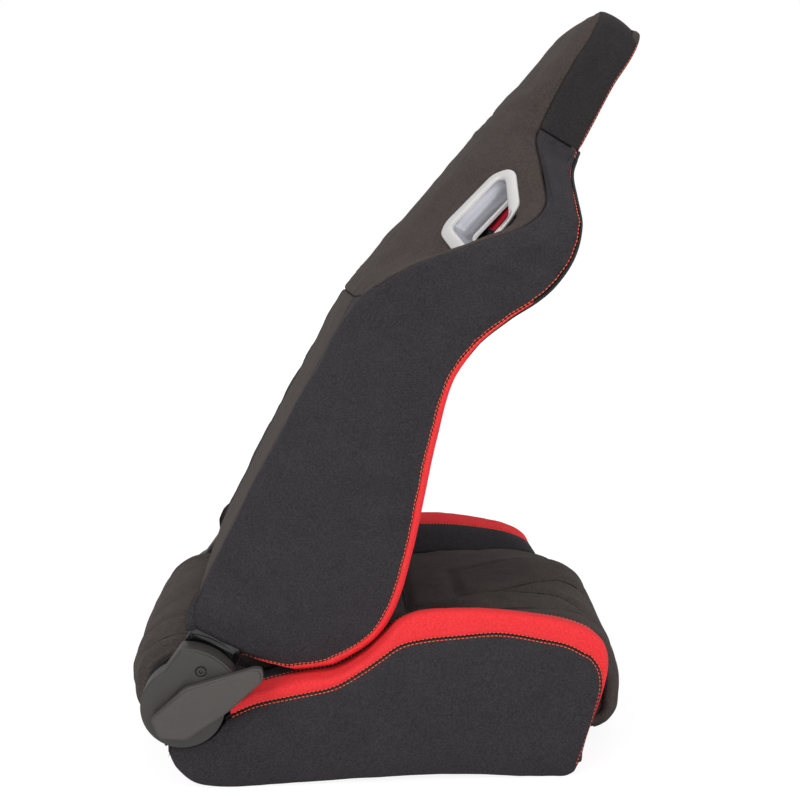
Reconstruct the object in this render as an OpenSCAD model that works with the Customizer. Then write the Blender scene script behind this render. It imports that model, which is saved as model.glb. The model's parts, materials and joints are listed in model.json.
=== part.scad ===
// Sports car seat with a folding, reclining back.
// +X points the way the occupant faces, +Y to the seat's left, +Z up, millimetres.
// The origin is the middle of the floor bolt pattern. The back is drawn upright about its
// hinge and then leant forward on its stop, so its own height runs along its local Z.

/* [Seat cushion] */
// Width over the two outer side panels
seat_w = 504; // [480:2:540]
// Width of the middle pad, between the bolsters
pad_w = 336; // [310:2:350]
// Thickness of an outer side panel
panel_t = 20; // [14:1:22]
// Height of the bolster crest above the floor
bolster_h = 191; // [180:1:205]
// Reach of the cushion's front edge ahead of the origin
front_x = 288; // [278:1:310]
// Height of the flat underside of the foam, where the pan carries it
pan_z = 95; // [88:1:98]
// Depth of the sewn channels in the middle pad
channel_d = 3; // [1:0.5:5]

/* [Hinge] */
// Hinge axis behind the origin
pivot_x = -226; // [-232:1:-220]
// Hinge axis above the floor
pivot_z = 98; // [96:1:104]
// Forward lean of the folded back at its stop
fold_a = 27; // [24:1:27]
// Radius of the round recliner unit
recliner_r = 40; // [34:1:42]
// Radius of the hinge journal
journal_r = 11; // [9:0.5:13]
// Running clearance of the hinge journal
journal_gap = 0.08; // [0.05:0.01:0.1]
// Radius of the rod that joins the two levers
rod_r = 6; // [5:0.5:7]
// Radius of the recliner cover's lower, round part
cover_r = 46; // [44:1:48]
// Radius of the recliner cover's upper fan
fan_r = 67; // [64:1:69]
// How far the recliner cover stands out from its arm
cover_d = 32; // [28:1:36]
// Wall of the recliner cover
cover_wall = 3; // [2:0.5:4]
// Thickness of the lever's paddle
lever_t = 13; // [9:1:16]

/* [Back] */
// Height of the back, from the hinge axis to the top of the head section
back_h = 920; // [880:5:960]
// How much narrower the back is than the cushion, over its lower bolsters
back_set = 36; // [30:2:54]
// Width over the shoulders
shoulder_w = 530; // [500:2:550]
// Width of the head section
head_w = 274; // [250:2:290]
// Distance of the flat rear face behind the hinge axis
rear_w = 36; // [30:1:40]
// Wall of the rear panels
shell_t = 5; // [3:0.5:7]
// Thickness of the wing where the belt passes, over the guide's flanges
guide_t = 3; // [2:0.5:4]

/* [Frame] */
// Plate thickness of the cushion frame
plate_t = 4; // [3:0.5:5]
// Sheet thickness of the cross members and the pan
sheet_t = 3; // [2:0.5:4]
// Lengthwise spacing of the floor bolts
bolt_x = 290; // [270:5:310]
// Sideways spacing of the floor bolts
bolt_y = 350; // [330:5:370]
// Radius of the floor bolt holes
bolt_r = 4.25; // [3.25:0.05:5.25]
// Radius of the frame tubes
tube_r = 11; // [9:0.5:12]
// Radius of the spring wires
wire_r = 2; // [1.5:0.25:2.5]

/* [Hidden] */
$fn = 48;

gap = 0.4;                        // air between soft solids and their neighbours
panel_y = seat_w / 2;             // outer face of a side panel
panel_in = panel_y - panel_t;     // inner face of a side panel
arm_t = 5;                        // recliner arm
arm_y = panel_in - 1;             // outer face of the recliner arm
unit_t = 16;                      // recliner unit, between the frame plate and the arm
plate_y = arm_y - arm_t - unit_t; // outer face of the cushion frame's side plate
inner_y = plate_y - plate_t;      // inner face of that plate
pad_y = pad_w / 2;
tray_z = pan_z - 8;               // flanges of the pan, under the bolsters
roll_r = 63;                      // the cushion's rear roll is round about the hinge
roll_in = 32;                     // hollow of that roll, which the rod passes through
roll_y = inner_y - 6;
bh = back_h / 920;                // heights on the back follow its overall height
fn_tube = 24;

// ---------- curves ----------
// Catmull-Rom point between b and c
function cr(a, b, c, d, t) =
  0.5 * (2 * b + (c - a) * t + (2 * a - 5 * b + 4 * c - d) * t * t
  + (3 * b - a - 3 * c + d) * t * t * t);
// point of the smooth curve through the list p, t counts its points from 0
function along(p, t) =
  let (n = len(p) - 1, i = min(floor(t), n - 1), f = t - i)
  cr(p[max(i - 1, 0)], p[i], p[i + 1], p[min(i + 2, n)], f);
// the same curve as k + 1 points
function curve(p, k) = [for (i = [0:k]) along(p, i * (len(p) - 1) / k)];
// row of a station table at the height v, smooth between its rows, column 0 is the height
function row_at(t, v) =
  let (n = len(t) - 1, i = min([for (k = [0:n - 1]) if (v <= t[k + 1][0] || k == n - 1) k]),
    f = (v - t[i][0]) / (t[i + 1][0] - t[i][0]))
  cr(t[max(i - 1, 0)], t[i], t[i + 1], t[min(i + 2, n)], f);
// polygon with its corners rounded off over the length r, or over what the edges leave
function soft_corner(a, b, c, r, k) =
  let (p = b + min(r / norm(a - b), 0.42) * (a - b), q = b + min(r / norm(c - b), 0.42) * (c - b))
  [for (i = [0:k]) let (t = i / k) (1 - t) * (1 - t) * p + 2 * t * (1 - t) * b + t * t * q];
function soft_polygon(p, r, k = 4) =
  let (n = len(p)) [for (i = [0:n - 1]) each soft_corner(p[(i + n - 1) % n], p[i], p[(i + 1) % n], r, k)];
function sum(v, i = 0) = i < len(v) ? v[i] + sum(v, i + 1) : 0;

// ---------- closed skins ----------
// Six times the signed volume that the triangles f close over the points p
function volume6(p, f) = sum([for (t = f) cross(p[t[0]], p[t[1]]) * p[t[2]]]);
// triangles between rings of n points, then a zipped cap on either end
function skin_faces(m, n) = concat(
  [for (i = [0:m - 2]) for (j = [0:n - 1])
    let (a = i * n + j, b = i * n + (j + 1) % n) each [[a, b, b + n], [a, b + n, a + n]]],
  [for (e = [0, m - 1]) for (j = [0:floor(n / 2) - 1])
    let (a = e * n + j, b = a + 1, c = e * n + n - 1 - j, d = c - 1)
    each e == 0
      ? (b == d ? [[a, c, b]] : b > d ? [] : [[a, c, b], [b, c, d]])
      : (b == d ? [[a, b, c]] : b > d ? [] : [[a, b, c], [b, d, c]])]
);
module skin(rings) {
  points = [for (r = rings) each r];
  faces = skin_faces(len(rings), len(rings[0]));
  turned = volume6(points, faces) > 0 ? [for (f = faces) [f[2], f[1], f[0]]] : faces;
  polyhedron(points, turned, convexity = 8);
}
module left() children();
module right() mirror([0, 1, 0]) children();
// puts a piece of the upright back on its hinge and folds it onto its stop
module folded() translate([pivot_x, 0, pivot_z]) rotate([0, fold_a, 0]) children();
// a bar along Y from y0 to y1
module y_bar(y0, y1, r, fn = $fn) translate([0, y0, 0]) rotate([-90, 0, 0]) cylinder(h = y1 - y0, r = r, $fn = fn);
// a flat plate cut from points in the X-Z plane, between y0 and y1
module xz_plate(points, y0, y1)
  translate([0, y1, 0]) rotate([90, 0, 0]) linear_extrude(height = y1 - y0) polygon(points);
// Bent tube through the points p, round every bend in steps; the path never runs along X
function bend_points(a, b, c, bend, k = 5) =
  let (d0 = (b - a) / norm(b - a), d1 = (c - b) / norm(c - b), turn = acos(d0 * d1), cut = bend * tan(turn / 2),
    mid = (d1 - d0) / norm(d1 - d0), o = b + mid * bend / cos(turn / 2))
  [for (i = [0:k]) let (t = turn * (i / k - 0.5)) [o - bend * cos(t) * mid + bend * sin(t) * (d0 + d1) / norm(d0 + d1),
    cos(t) * (d0 + d1) / norm(d0 + d1) + sin(t) * mid]];
function tube_ring(q, d, r, sides) =
  let (e = cross(d, [1, 0, 0]) / norm(cross(d, [1, 0, 0])), f = cross(d, e))
  [for (i = [0:sides - 1]) let (t = 360 * i / sides) q + r * (cos(t) * e + sin(t) * f)];
module tube_path(p, r, bend, sides = 16) {
  n = len(p) - 1;
  d0 = (p[1] - p[0]) / norm(p[1] - p[0]);
  d1 = (p[n] - p[n - 1]) / norm(p[n] - p[n - 1]);
  steps = concat([[p[0], d0]], [for (i = [1:n - 1]) each bend_points(p[i - 1], p[i], p[i + 1], bend)], [[p[n], d1]]);
  skin([for (q = steps) tube_ring(q[0], q[1], r, sides)]);
}

// ---------- cushion ----------
// Lengthwise path of the middle pad: outer x, outer z, inner x, inner z, half width.
// It comes up round the rear roll, dips under the folded back and rolls over the front.
function roll_row(a) = [
  pivot_x + roll_r * cos(a), pivot_z + roll_r * sin(a),
  pivot_x + roll_in * cos(a), pivot_z + roll_in * sin(a), roll_y
];
dip_z = pan_z + 27;
crown_z = pan_z + 63;
pad_rows = [
  roll_row(218), roll_row(196), roll_row(172), roll_row(146), roll_row(118), roll_row(92),
  [pivot_x + 34, pivot_z + 48, pivot_x + 28, pivot_z + 12, roll_y - 2],
  [pivot_x + 54, pivot_z + 33, pivot_x + 46, tray_z + 1, pad_y - gap],
  [-140, dip_z, -140, tray_z + 1, pad_y - gap],
  [-95, dip_z - 1, -95, tray_z + 1, pad_y - gap],
  [-45, dip_z + 8, -45, tray_z + 1, pad_y - gap],
  [10, crown_z - 13, 10, tray_z + 1, pad_y - gap],
  [36, crown_z - 8, 36, pan_z, pad_y - gap],
  [100, crown_z, 100, pan_z, pad_y - gap],
  [160, crown_z + 1, 160, pan_z, pad_y - gap],
  [front_x - 76, crown_z - 1, front_x - 84, pan_z, pad_y - gap],
  [front_x - 42, crown_z - 6, front_x - 56, pan_z - 4, pad_y - gap],
  [front_x - 16, crown_z - 22, front_x - 42, pan_z - 15, pad_y - 2],
  [front_x - 2, crown_z - 50, front_x - 35, pan_z - 32, pad_y - 5],
  [front_x, crown_z - 82, front_x - 33, pan_z - 52, pad_y - 8],
  [front_x - 6, 48, front_x - 34, 38, pad_y - 10],
  [front_x - 18, 28, front_x - 38, 26, pad_y - 14]
];
// height of the pad's surface over its path, across the width: -1 to 1
function pad_rise(v, x) =
  let (a = abs(v), strip = 0.74)
  (a > strip ? 5 - 9 * (a - strip) / (1 - strip) : 5 + 5 * cos(90 * a / strip))
  - (abs(a - strip) < 0.03 ? channel_d : 0) - (abs(x - 36) < 8 && a < strip ? channel_d : 0);
pad_cols = [-1, -0.97, -0.88, -0.77, -0.74, -0.71, -0.5, -0.25, 0, 0.25, 0.5, 0.71, 0.74, 0.77, 0.88, 0.97, 1];
function pad_ring(r, out) = concat(
  [for (v = pad_cols) let (edge = abs(v) == 1 ? 0.35 : 1, h = pad_rise(v, r[0]) * edge - (abs(v) == 1 ? 8 : 0))
    [r[0] + out[0] * h, v * r[4], r[1] + out[1] * h]],
  [for (v = [1, 0.33, -0.33, -1]) [r[2], v * r[4], r[3]]]
);
module cushion_center() {
  k = 38;
  path = curve(pad_rows, k);
  color("#26221f")
    skin([for (i = [0:k])
      let (d = path[min(i + 1, k)] - path[max(i - 1, 0)], t = [d[0], d[1]] / norm([d[0], d[1]]))
      pad_ring(path[i], [-t[1], t[0]])]);
}

// Crest of the bolster: x, z, then how deep the inner seam and the outer seam lie under it
b_tail = pivot_x + cover_r + 5;
b_rows = [
  [b_tail, 96, 4, 13],
  [-146, 108, 4, 13],
  [-98, 117, 2, 13],
  [-60, 121, 1, 9],
  [-28, 137, 2, 7],
  [-6, bolster_h - 33, 12, 13],
  [14, bolster_h - 11, 28, 25],
  [42, bolster_h, 38, 31],
  [80, bolster_h + 2, 38, 30],
  [125, bolster_h, 36, 25],
  [170, bolster_h - 7, 30, 26],
  [208, bolster_h - 20, 20, 24],
  [front_x - 49, bolster_h - 46, 4, 20],
  [front_x - 37, bolster_h - 78, -10, 14],
  [front_x - 41, 84, -16, 9],
  [front_x - 51, 54, -18, 7],
  [front_x - 62, 24, -14, 6]
];
// depth of the foam under the crest
function b_depth(x, z) = z > 90 && x < 200 ? z - tray_z : 26;
function bolster_ring(r, out) =
  let (x = r[0], z = r[1], o = out, deep = b_depth(x, z), y0 = pad_y + gap, y1 = panel_y - 2, w = y1 - y0,
    inset = (panel_in - gap - y0) / w)
  [for (q = concat(
    [[0, max(deep, 14)]],
    curve([[0, r[2] + 2], [0.18, r[2] * 0.62], [0.42, r[2] * 0.18], [0.72, 0], [0.9, r[3] * 0.35], [1, r[3]]], 11),
    [[inset, r[3] + seam_drop], [inset, max(deep, r[3] + seam_drop + 3)]]))
    [x - o[0] * q[1], y0 + w * q[0], z - o[1] * q[1]]];
seam_drop = 1;   // fall of the bolster's underside from its outer seam to the panel's inner face
bolster_k = 32;
bolster_path = curve(b_rows, bolster_k);
// outward direction of the bolster's section: straight up along the top, turning over the front
function b_out(i) =
  let (d = bolster_path[min(i + 1, bolster_k)] - bolster_path[max(i - 1, 0)], l = norm([d[0], d[1]]))
  bolster_path[i][0] < 190 && bolster_path[i][1] > 100 ? [0, 1] : [-d[1], d[0]] / l;
module cushion_bolster()
  color("#d8202c") skin([for (i = [0:bolster_k]) bolster_ring(bolster_path[i], b_out(i))]);

// Outer side panel: its top edge runs just under the bolster's outer seam
p_rear = [[pivot_x - 18, 58], [pivot_x - 2, 64], [pivot_x + 18, 70], [pivot_x + 34, 77]];
p_bottom = [
  [pivot_x - 16, 42], [pivot_x - 4, 20], [-206, 7], [-170, 2], [-120, 2], [-70, 3], [-20, 4], [20, 4],
  [60, 4], [95, 3], [125, 2], [150, 1.5], [172, 1.5], [188, 2], [front_x - 87, 4], [front_x - 77, 12]
];
function panel_top(i) =
  let (r = bolster_path[i], o = b_out(i), drop = r[3] + seam_drop + gap) [r[0] - o[0] * drop, r[1] - o[1] * drop];
module side_panel() {
  top = concat(p_rear, [for (i = [0:bolster_k]) panel_top(i)]);
  k = len(top) - 1;
  bottom = curve(p_bottom, k);
  rise = [[0, -6], [0.07, 0], [0.35, 3], [0.7, 3], [0.94, 0], [1, -6]];
  module blank()
    skin([for (i = [0:k])
      let (edge = min(1, 4 * min(i, k - i) / k))
      concat(
        [for (q = rise) let (p = bottom[i] + q[0] * (top[i] - bottom[i]))
          [p[0], panel_y - 9 + (q[1] + 6) * (0.12 + 0.88 * edge), p[1]]],
        [[top[i][0], panel_in, top[i][1]], [bottom[i][0], panel_in, bottom[i][1]]])]);
  color("#25262b") difference() {
    union() {
      blank();
      for (x = [-40, 40, 130]) translate([x, 0, 48]) y_bar(plate_y, panel_in + 2, 7);
    }
    translate([pivot_x, 0, pivot_z]) y_bar(panel_in - 5, panel_y + 10, cover_r + 3);
  }
}

// ---------- cushion frame ----------
plate_front = front_x - 92;       // front end of the side plates
module base_side() {
  outline = [
    [pivot_x - 10, 40], [-200, 15], [plate_front - 14, 15], [plate_front, 29], [plate_front, 66],
    [plate_front - 22, tray_z - sheet_t], [pivot_x + recliner_r + 36, tray_z - sheet_t],
    [pivot_x + recliner_r + 30, tray_z - sheet_t - 5], [pivot_x + recliner_r + 4, tray_z - sheet_t - 5],
    [pivot_x + recliner_r - 2, pivot_z + 16], [pivot_x - 30, pivot_z + 20]
  ];
  color("#1b1c1f") difference() {
    union() {
      xz_plate(outline, inner_y, plate_y);
      translate([pivot_x, 0, pivot_z]) y_bar(inner_y, plate_y, recliner_r + 4);
      translate([-200, inner_y - 14, 15]) cube([plate_front + 186, 15, sheet_t]);
      translate([-120, inner_y - 14, tray_z - 2 * sheet_t]) cube([plate_front + 98, 15, sheet_t]);
    }
    translate([pivot_x, 0, pivot_z]) y_bar(inner_y - 1, plate_y + 1, rod_r + 3);
    for (x = [-80, 0, 80]) translate([x, 0, 48]) y_bar(inner_y - 1, plate_y + 1, 19);
  }
}
// pressed channel across the frame, its web carries two of the floor bolts
module crossmember(x) {
  wide = 60;
  color("#1b1c1f") difference() {
    translate([x - wide / 2, -inner_y, 0]) cube([wide, 2 * inner_y, 36]);
    translate([x - wide / 2 + sheet_t, -inner_y - 1, sheet_t]) cube([wide - 2 * sheet_t, 2 * inner_y + 2, 40]);
    for (s = [-1, 1]) {
      translate([x, s * bolt_y / 2, -1]) cylinder(h = sheet_t + 2, r = bolt_r);
      translate([x - wide / 2 - 1, s * (inner_y - 8) - 8, 15 - 0.2]) cube([wide + 2, 16, sheet_t + 0.4]);
    }
    for (y = [-100, 0, 100]) translate([x, y, -1]) cylinder(h = sheet_t + 2, r = 14);
  }
}
module weld_nuts()
  color("#8d9095")
    for (x = [-bolt_x / 2, bolt_x / 2], y = [-bolt_y / 2, bolt_y / 2])
      translate([x, y, sheet_t]) difference() {
        cylinder(h = 8, r = 8.5, $fn = 6);
        translate([0, 0, -1]) cylinder(h = 10, r = bolt_r);
      }
front_tube_x = plate_front - 20;
front_tube_z = 52;
rear_tube_x = -150;
rear_tube_z = tray_z - 16;
module front_tube() color("#1b1c1f") translate([front_tube_x, 0, front_tube_z]) y_bar(-inner_y, inner_y, tube_r);
module rear_tube() color("#1b1c1f") translate([rear_tube_x, 0, rear_tube_z]) y_bar(-inner_y, inner_y, tube_r);
// Pressed pan under the thigh foam, with a lip down in front and flanges on the side plates
pan_rear = 42;
module seat_pan() {
  lip = front_x - 37;
  top = [[pan_rear, pan_z - gap], [front_x - 84, pan_z - gap], [front_x - 58, pan_z - 5], [front_x - 44, pan_z - 16], [lip, pan_z - 33], [lip, 44]];
  sheet = [for (p = top) p - [sheet_t * (p[0] > front_x - 60 ? 0.9 : 0), sheet_t * (p[0] > front_x - 50 ? 0.5 : 1)]];
  color("#2a2b2e") difference() {
    union() {
      xz_plate(concat(top, [for (i = [len(sheet) - 1:-1:0]) sheet[i]]), -pad_y + 2, pad_y - 2);
      for (s = [-1, 1]) {
        translate([pan_rear, s * (pad_y - 2 - sheet_t / 2) - sheet_t / 2, tray_z - sheet_t]) cube([160, sheet_t, 8]);
        translate([pan_rear, s > 0 ? pad_y - 3 : -inner_y, tray_z - sheet_t]) cube([160, inner_y - pad_y + 3, sheet_t]);
      }
    }
    for (x = [75, 130], y = [-90, 0, 90]) translate([x, y, pan_z - 20]) cylinder(h = 30, r = 16);
  }
}
// Sinuous wires, laid on the rear tube and hooked under the pan's rear edge
module cushion_springs() {
  loops = 5;
  pitch = (pan_rear - rear_tube_x - 2) / loops;
  wire_z = rear_tube_z + tube_r + wire_r;
  turn = pitch / 4;
  reach = 14;
  color("#9a9da2")
    for (y = [-120, -40, 40, 120]) translate([rear_tube_x, y, wire_z]) {
      hook = pan_z - gap - sheet_t - wire_r - wire_z;
      translate([loops * pitch, 0, 0]) cylinder(h = hook, r = wire_r, $fn = 16);
      translate([loops * pitch, 0, hook]) rotate([0, 90, 0]) cylinder(h = 16, r = wire_r, $fn = 16);
      for (i = [0:loops - 1]) translate([i * pitch, 0, 0]) {
        for (s = [0, 1]) translate([turn + 2 * turn * s, (s ? -1 : 1) * reach, 0]) rotate([0, 0, s ? 180 : 0])
          rotate_extrude(angle = 180, $fn = fn_tube) translate([turn, 0]) circle(r = wire_r, $fn = 16);
        translate([2 * turn, 0, 0]) y_bar(-reach, reach, wire_r, 16);
        y_bar(i == 0 ? 0 : -reach, reach, wire_r, 16);
        if (i == loops - 1) translate([4 * turn, 0, 0]) y_bar(-reach, 0, wire_r, 16);
      }
    }
}

// ---------- recliner ----------
tooth_n = 60;
ring_in = recliner_r - 6;
module at_hinge() translate([pivot_x, 0, pivot_z]) children();
// Guide plate on the cushion frame, with the journal that the back turns on
module recliner_guide()
  color("#77797d") at_hinge() difference() {
    union() {
      y_bar(plate_y, plate_y + unit_t / 2 - gap, recliner_r - 2);
      y_bar(plate_y, arm_y + 14, journal_r);
    }
    y_bar(plate_y - 1, arm_y + 15, rod_r + 0.1);
  }
// Toothed ring plate on the back, teeth all round but for the free-swing land
module recliner_ring()
  color("#8d9095") folded() difference() {
    y_bar(plate_y + unit_t / 2, arm_y - arm_t, recliner_r);
    y_bar(plate_y + unit_t / 2 - 1, arm_y, journal_r + journal_gap);
    y_bar(plate_y + unit_t / 2 - 1, arm_y - arm_t - 3, ring_in - 2);
    translate([0, plate_y + unit_t / 2 - 1, 0]) rotate([-90, 0, 0]) linear_extrude(height = 6)
      polygon([for (i = [0:2 * tooth_n - 1]) let (a = i * 180 / tooth_n, r = i % 2 == 0 ? ring_in : ring_in - 2.4) [r * cos(a), r * sin(a)]]);
  }
arm_top = 96;
module recliner_arm() {
  outline = [[-34, 12], [-28, 78], [-18, arm_top], [18, arm_top], [34, 68], [38, 12], [20, -20], [-20, -20]];
  color("#0d0d0f") folded() difference() {
    union() {
      xz_plate(outline, arm_y - arm_t, arm_y);
      y_bar(arm_y - arm_t, arm_y, cover_r - 4);
      intersection() {
        difference() {
          y_bar(arm_y - 1, arm_y + 1.5, fan_r + 7);
          y_bar(arm_y - 2, arm_y + 2, fan_r + 2);
        }
        xz_plate([[0, 0], [-30, 80], [30, 80]], arm_y - 1, arm_y + 2);
      }
    }
    y_bar(arm_y - arm_t - 1, arm_y + 3, journal_r + journal_gap);
    translate([0, 0, screw_u]) y_bar(arm_y - arm_t - 1, arm_y + 3, 2.1);
  }
}
// Flat spiral spring that lifts the back, wound round the journal
module return_spring() {
  turns = 3.25;
  strip = 1.8;
  r0 = journal_r + 0.2;
  lead = 5.2;
  steps = 78;
  function spiral(r, a) = [r * cos(a), r * sin(a)];
  outer = [for (i = [0:steps]) let (t = turns * i / steps) spiral(r0 + strip + lead * t, 360 * t)];
  inner = [for (i = [steps:-1:0]) let (t = turns * i / steps) spiral(r0 + lead * t, 360 * t)];
  color("#55585c") at_hinge() translate([0, arm_y, 0]) rotate([-90, 0, 0])
    linear_extrude(height = 9) polygon(concat(outer, inner));
}
screw_u = 46;
cover_y = arm_y + cover_d;
// Form of the cover between y0 and y1: a disc, and a fan above it
module cover_form(y0, y1, cut) {
  y_bar(y0, y1, cover_r - cut, 96);
  intersection() {
    y_bar(y0, y1, fan_r - cut, 96);
    xz_plate([
      [-cover_r + 4 + cut, -8], [-31 + cut, 61 - cut], [-8 + cut / 2, fan_r + 5 - cut], [20, fan_r + 5 - cut],
      [34 - cut, 57 - cut], [cover_r - 6 - cut, 20], [20, -8]
    ], y0 - 1, y1 + 1);
  }
}
module recliner_cover()
  color("#2f2e2c") folded() difference() {
    union() {
      difference() {
        union() {
          cover_form(arm_y + 2.5, cover_y - 3, 0);
          cover_form(cover_y - 3.5, cover_y, 2.2);
        }
        cover_form(arm_y, cover_y - cover_wall, cover_wall + 1);
      }
      translate([0, 0, screw_u]) y_bar(arm_y, cover_y - 1, 7);
    }
    y_bar(arm_y, cover_y + 2, journal_r + 5);
    translate([0, 0, screw_u]) y_bar(arm_y - 1, cover_y + 2, 2.1);
    translate([0, 0, screw_u]) y_bar(cover_y - 4, cover_y + 2, 6);
  }
module cover_screw()
  color("#101113") folded() translate([0, 0, screw_u]) difference() {
    union() {
      y_bar(arm_y - arm_t, cover_y - 4, 2.1);
      y_bar(cover_y - 4, cover_y - 1, 5);
    }
    translate([0, cover_y - 2.8, 0]) rotate([-90, 0, 0]) for (a = [0, 60, 120])
      rotate([0, 0, a]) translate([-2.4, -0.7, 0]) cube([4.8, 1.4, 4]);
  }
module cover_screws() {
  left() cover_screw();
  right() cover_screw();
}

// ---------- lever ----------
lever_y = cover_y + 3;
lever_outline = [
  [pivot_x - 33, 92], [pivot_x - 24, 70], [pivot_x + 4, 67], [pivot_x + 51, 98],
  [pivot_x + 89, 132], [pivot_x + 88, 145], [pivot_x + 79, 146], [pivot_x + 4, 125]
];
module lever() {
  inset = soft_polygon([for (p = lever_outline) p + 3 * ([pivot_x + 5, 104] - p) / norm([pivot_x + 5, 104] - p)], 5);
  color("#34322f") difference() {
    union() {
      xz_plate(soft_polygon(lever_outline, 5), lever_y, lever_y + lever_t - 3);
      xz_plate(inset, lever_y + lever_t - 4, lever_y + lever_t);
      at_hinge() y_bar(cover_y - 14, lever_y + 1, rod_r + 5);
    }
    at_hinge() y_bar(cover_y - 15, lever_y + 4, rod_r);
  }
}
module sync_rod() color("#9a9da2") at_hinge() y_bar(-lever_y - 4, lever_y + 4, rod_r);

// ---------- back ----------
// Half sections of the lower bolster and the shoulder wing at heights up the back.
// Each row: height, then (y, w) of the rear inner edge, rear corner, side, front edge,
// inner edge of the coloured strip, and foot on the middle pad. w is forward of the hinge.
// The last column hollows the rear face round the belt slot.
back_w = seat_w - back_set;
by = back_w / 2;
sy = shoulder_w / 2;
hy = head_w / 2;
gy = by - 68;
rw = -rear_w;
back_rows = [
  [68 * bh, by - 56, rw + 16, by - 34, rw + 20, by - 12, 15, by - 12, 46, by - 24, 54, gy, 38, 0],
  [80 * bh, by - 62, rw + 5, by - 28, rw + 5, by - 5, 20, by - 4, 92, by - 18, 93, gy, 44, 0],
  [106 * bh, by - 64, rw, by - 23, rw - 1, by - 1, 28, by - 1, 130, by - 17, 129, gy, 50, 0],
  [150 * bh, by - 64, rw, by - 20, rw - 4, by, 40, by, 157, by - 17, 153, gy, 56, 0],
  [190 * bh, by - 64, rw, by - 19, rw - 5, by, 45, by, 162, by - 18, 158, gy, 60, 0],
  [250 * bh, by - 64, rw, by - 19, rw - 5, by, 45, by + 1, 149, by - 17, 145, gy, 62, 0],
  [320 * bh, by - 64, rw + 2, by - 19, rw - 4, by + 1, 40, by + 2, 130, by - 16, 127, gy - 1, 60, 0],
  [390 * bh, by - 66, rw + 5, by - 18, rw - 2, by + 3, 35, by + 5, 110, by - 12, 108, gy - 4, 57, 0],
  [450 * bh, by - 76, rw + 7, by - 15, rw + 1, by + 8, 35, by + 11, 100, by - 6, 98, gy - 10, 55, 0],
  [500 * bh, by - 106, rw + 10, sy - 41, rw + 18, sy - 16, 48, sy - 13, 109, sy - 29, 107, gy - 17, 54, 3],
  [540 * bh, hy - 34, rw + 18, sy - 31, 6, sy - 8, 68, sy - 6, 127, sy - 22, 124, gy - 22, 54, 10],
  [575 * bh, hy - 45, rw + 25, sy - 25, 38, sy - 3, 90, sy - 2, 146, sy - 18, 142, gy - 25, 56, 15],
  [605 * bh, hy - 49, rw + 30, sy - 21, 68, sy, 113, sy - 1, 155, sy - 17, 150, gy - 26, 61, 10],
  [635 * bh, hy - 49, rw + 35, sy - 22, 96, sy - 1, 134, sy - 3, 159, sy - 19, 153, gy - 26, 69, 3],
  [665 * bh, hy - 49, rw + 40, sy - 39, 108, sy - 16, 137, sy - 17, 154, sy - 30, 150, gy - 26, 79, -3],
  [690 * bh, hy - 49, rw + 46, sy - 72, 102, sy - 48, 126, sy - 44, 145, sy - 56, 143, gy - 26, 94, -8],
  [715 * bh, hy - 49, rw + 52, hy + 27, 89, hy + 42, 110, hy + 46, 133, hy + 36, 131, gy - 27, 112, -4],
  [738 * bh, hy - 49, rw + 58, hy + 3, 77, hy + 8, 101, hy + 9, 127, hy + 8, 127, hy, 124, 0]
];
split_u = 540 * bh;   // the wing is a piece of its own above this height
neck_u = 738 * bh;
hem_u = 68 * bh;
function wing_ring(u) =
  let (r = row_at(back_rows, u), p = [for (i = [1:2:11]) [r[i], r[i + 1]]])
  [for (q = concat(
    curve([p[0], p[0] + 0.62 * (p[1] - p[0]) + [0, r[13]], p[1], (p[1] + p[2]) / 2 + [3, -2], p[2], (p[2] + p[3]) / 2 + [1, 0], p[3]], 12),
    curve([p[3] + [-5, 4], p[4], (p[4] + p[5]) / 2 + [4, 0], p[5]], 6),
    [(p[0] + p[5]) / 2])) [q[1], q[0] + gap / 2, u]];
low_rings = [for (i = [0:16]) hem_u + (split_u - hem_u) * i / 16];
high_rings = [for (i = [0:13]) split_u + (neck_u - split_u) * i / 13];
module back_bolster() color("#25262b") folded() skin([for (u = low_rings) wing_ring(u)]);

// Belt slot: outlines of the hole and of the guide's rim as seen from behind (y, height),
// and the tilted plane that the guide's rear flange lies in
slot_hole = [[209, 587], [171, 602], [159, 674], [165, 678], [203, 641], [206, 634], [213, 600]];
slot_rim = [[202, 575], [169, 589], [161, 604], [150, 678], [157, 691], [167, 690], [203, 656], [211, 634], [217, 612], [213, 590]];
slot_mid = [186, 634];
slot_w = 61.7;
slot_tilt = 70.7;
slot_turn = 138.9;
wall = 2.5;
guide_deep = 19;
module at_slot() translate([slot_w, slot_mid[0], slot_mid[1] * bh]) rotate([0, slot_tilt, slot_turn]) children();
// slab between two planes parallel to the rear flange
module slot_slab(z0, z1) at_slot() translate([-120, -120, z0]) cube([240, 240, z1 - z0]);
// prism straight fore and aft through the wing, its outline grown by d
module slot_prism(p, d, r)
  translate([-60, 0, slot_mid[1] * bh - slot_mid[1]]) rotate([90, 0, 90]) linear_extrude(height = 260)
    polygon(soft_polygon([for (q = p) q + d * (q - slot_mid) / norm(q - slot_mid)], r, 3));
module shoulder_wing()
  color("#26221f") folded() difference() {
    skin([for (u = high_rings) wing_ring(u + (u == split_u ? gap / 2 : 0))]);
    slot_prism(slot_hole, wall + gap, 5);
  }
module belt_guide()
  color("#c9cacc") folded() difference() {
    union() {
      intersection() {
        slot_prism(slot_rim, 0, 6);
        slot_slab(0, guide_t);
      }
      intersection() {
        slot_prism(slot_hole, wall, 5);
        slot_slab(-guide_deep, guide_t + 1.5);
      }
    }
    slot_prism(slot_hole, 0, 5);
  }
module belt_guide_front()
  color("#c9cacc") folded() difference() {
    intersection() {
      slot_prism(slot_hole, 10, 8);
      slot_slab(-guide_deep - guide_t, -guide_deep);
    }
    slot_prism(slot_hole, 0, 5);
  }

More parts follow.
